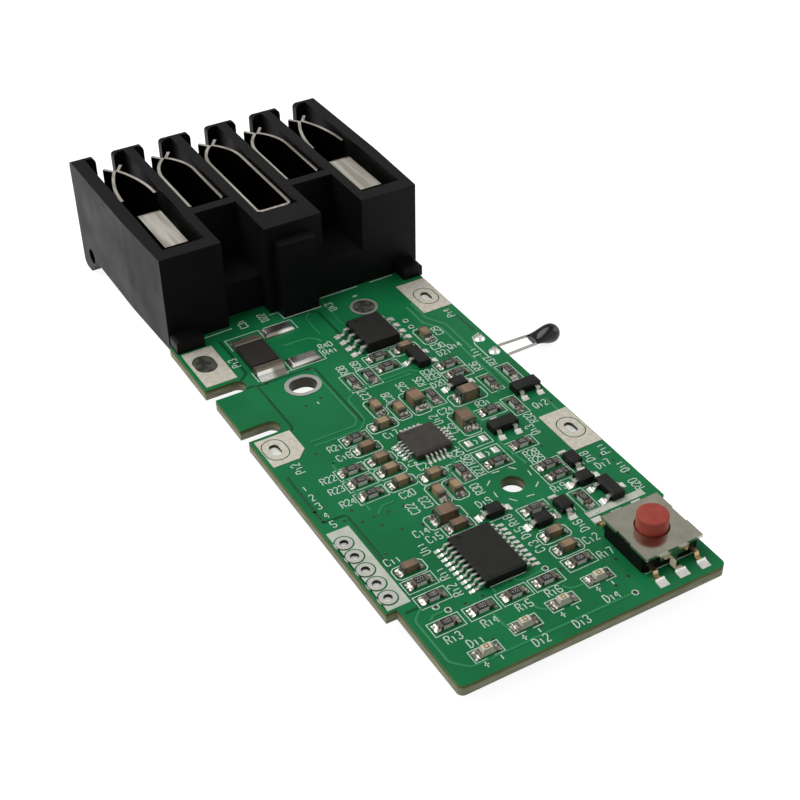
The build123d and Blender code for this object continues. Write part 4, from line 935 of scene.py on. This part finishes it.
simple_finish("white_alumina", "#D9D6CE", ("resistor_bodies",), (0.1, 2.0, 0.01, 0.5), roughness=0.6)
glaze_waves = (0.3, 2.0, 0.01, 0.5)
simple_finish(
    "black_resistor_glaze", "#141313", ("resistor_coats",), glaze_waves, roughness=0.3, Coat_Weight=0.15
)
patches = ("#705743", "#98805F", 5.0, 1.0, 0.35, 0.65)
bodies = ("capacitor_bodies", "large_capacitor_bodies")
simple_finish("capacitor_ceramic", "#7A5A3D", bodies, (0.15, 3.0, 0.01, 0.5), patches, roughness=0.42)
simple_finish("lamp_laminate", "#E2DCC6", ("lamp_bases",), (0.15, 2.0, 0.01, 0.5), roughness=0.45)
clear = {"roughness": 0.12, "Transmission_Weight": 0.4, "IOR": 1.5}
simple_finish("clear_lamp_resin", "#F5F0DC", ("lamp_lenses",), (0.4, 2.0, 0.01, 0.4), **clear)
element = simple_finish("lamp_element", "#8C6A30", (), (0.1, 2.0, 0.01, 0.5), roughness=0.4)


def tile(x, y, wide, high):
    """The four corners of a small flat tile."""
    return [(x + a * wide / 2, y + b * high / 2) for a, b in ((-1, -1), (1, -1), (1, 1), (-1, 1))]


# A lamp has a metal film at each end of its base, and a square rim of gold shows through its lens
lamp_ends = [tile(x + side * 0.68, y, 0.23, 0.8) for x, y in LAMPS for side in (-1, 1)]
plate("lamp_ends", lamp_ends, thick=0.03, finish=end_finish, rise=0.3)
lenses = node["lamp_lenses"]
lens_top = max((lenses.matrix_world @ Vector(corner)).z for corner in lenses.bound_box) / MM
rims = [tile(x, y, 0.46, 0.46) for x, y in LAMPS] + [tile(x, y, 0.24, 0.24) for x, y in LAMPS]
plate("lamp_elements", rims, thick=0.01, finish=element, rise=lens_top)
glossy = {"roughness": 0.18, "Coat_Weight": 0.15, "Coat_Roughness": 0.08, "Specular_IOR_Level": 0.3}
bead_finish = simple_finish("dark_epoxy_bead", "#0A0908", (), (0.8, 2.0, 0.04, 0.6), **glossy)
TAIL_RINGS, BALL_RINGS = 16, 10


def epoxy_drop(name, centre, radius, tail_length, tail_half_width, tail_half_height, steps=32):
    """A ball that flows into a flat tail; the rings run from the tail's end to the ball's tip."""
    mesh = bmesh.new()
    rings = []
    stations = [-tail_length * (1 - i / TAIL_RINGS) for i in range(TAIL_RINGS)]
    stations += [radius * math.sin(math.pi / 2 * i / BALL_RINGS) for i in range(BALL_RINGS)]
    for along in stations:
        if along < 0:
            ease = 0.5 - 0.5 * math.cos(math.pi * along / tail_length)
            half_width = radius + (tail_half_width - radius) * ease
            half_height = radius + (tail_half_height - radius) * ease
        else:
            half_width = half_height = math.sqrt(radius**2 - along**2)
        ring = []
        for i in range(steps):
            angle = math.tau * i / steps
            x, y, z = along, half_width * math.cos(angle), half_height * math.sin(angle)
            ring.append(mesh.verts.new(at(centre[0] + x, centre[1] + y, centre[2] + z)))
        rings.append(ring)
    for low, high in zip(rings, rings[1:]):
        for i in range(steps):
            mesh.faces.new((low[i], low[(i + 1) % steps], high[(i + 1) % steps], high[i]))
    mesh.faces.new(rings[0])
    tip = mesh.verts.new(at(centre[0] + radius, centre[1], centre[2]))
    for i in range(steps):
        mesh.faces.new((rings[-1][i], rings[-1][(i + 1) % steps], tip))
    bmesh.ops.recalc_face_normals(mesh, faces=mesh.faces)
    data = bpy.data.meshes.new(name)
    mesh.to_mesh(data)
    mesh.free()
    for polygon in data.polygons:
        polygon.use_smooth = len(polygon.vertices) < 5
    made = bpy.data.objects.new(name, data)
    bpy.context.scene.collection.objects.link(made)
    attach(made, "base")
    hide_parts("sensor_bead")
    print(name, "has", len(data.polygons), "faces")
    return made


# The sensor is dipped in epoxy, which flows into one drop: ball and tail meet without a crease
tail = {"tail_length": 2.5, "tail_half_width": 1.0, "tail_half_height": 0.3}
drop = epoxy_drop("epoxy_drop", (22.78, 39.6, -2.1), radius=1.11, **tail)
drop.data.materials.append(bead_finish)
patches = ("#8C372D", "#9B4236", 1.0, 3.0)
button_grain = (0.14, 3.0, 0.012, 0.6)
matt = {"roughness": 0.5, "Specular_IOR_Level": 0.25}
simple_finish("matt_red_button", "#953A36", ("switch_button",), button_grain, patches, **matt)

# %% [markdown]
# ## Numbers on the resistors
# Each resistor carries a three-digit value in pale paint on its glaze. The digits here are a plain
# running series; the letter strokes above serve again, smaller and higher up.

# %% Value digits
VALUES = ["102", "103", "472", "104", "222", "100", "331"]
digits = []
for places, turn in ((RESISTORS, 0), (TURNED_RESISTORS, 90)):
    for i, (x, y) in enumerate(places):
        digits += letters(VALUES[i % len(VALUES)], x, y, turn, high=0.42)
pale_paint = simple_finish("pale_value_paint", "#97948D", (), (0.1, 2.0, 0.01, 0.5), roughness=0.6)
RESISTOR_TOP = 0.5
draw("resistor_values", digits, 0.055, 0.012, pale_paint, rise=RESISTOR_TOP)

bpy.context.scene.view_settings.view_transform = "Standard"
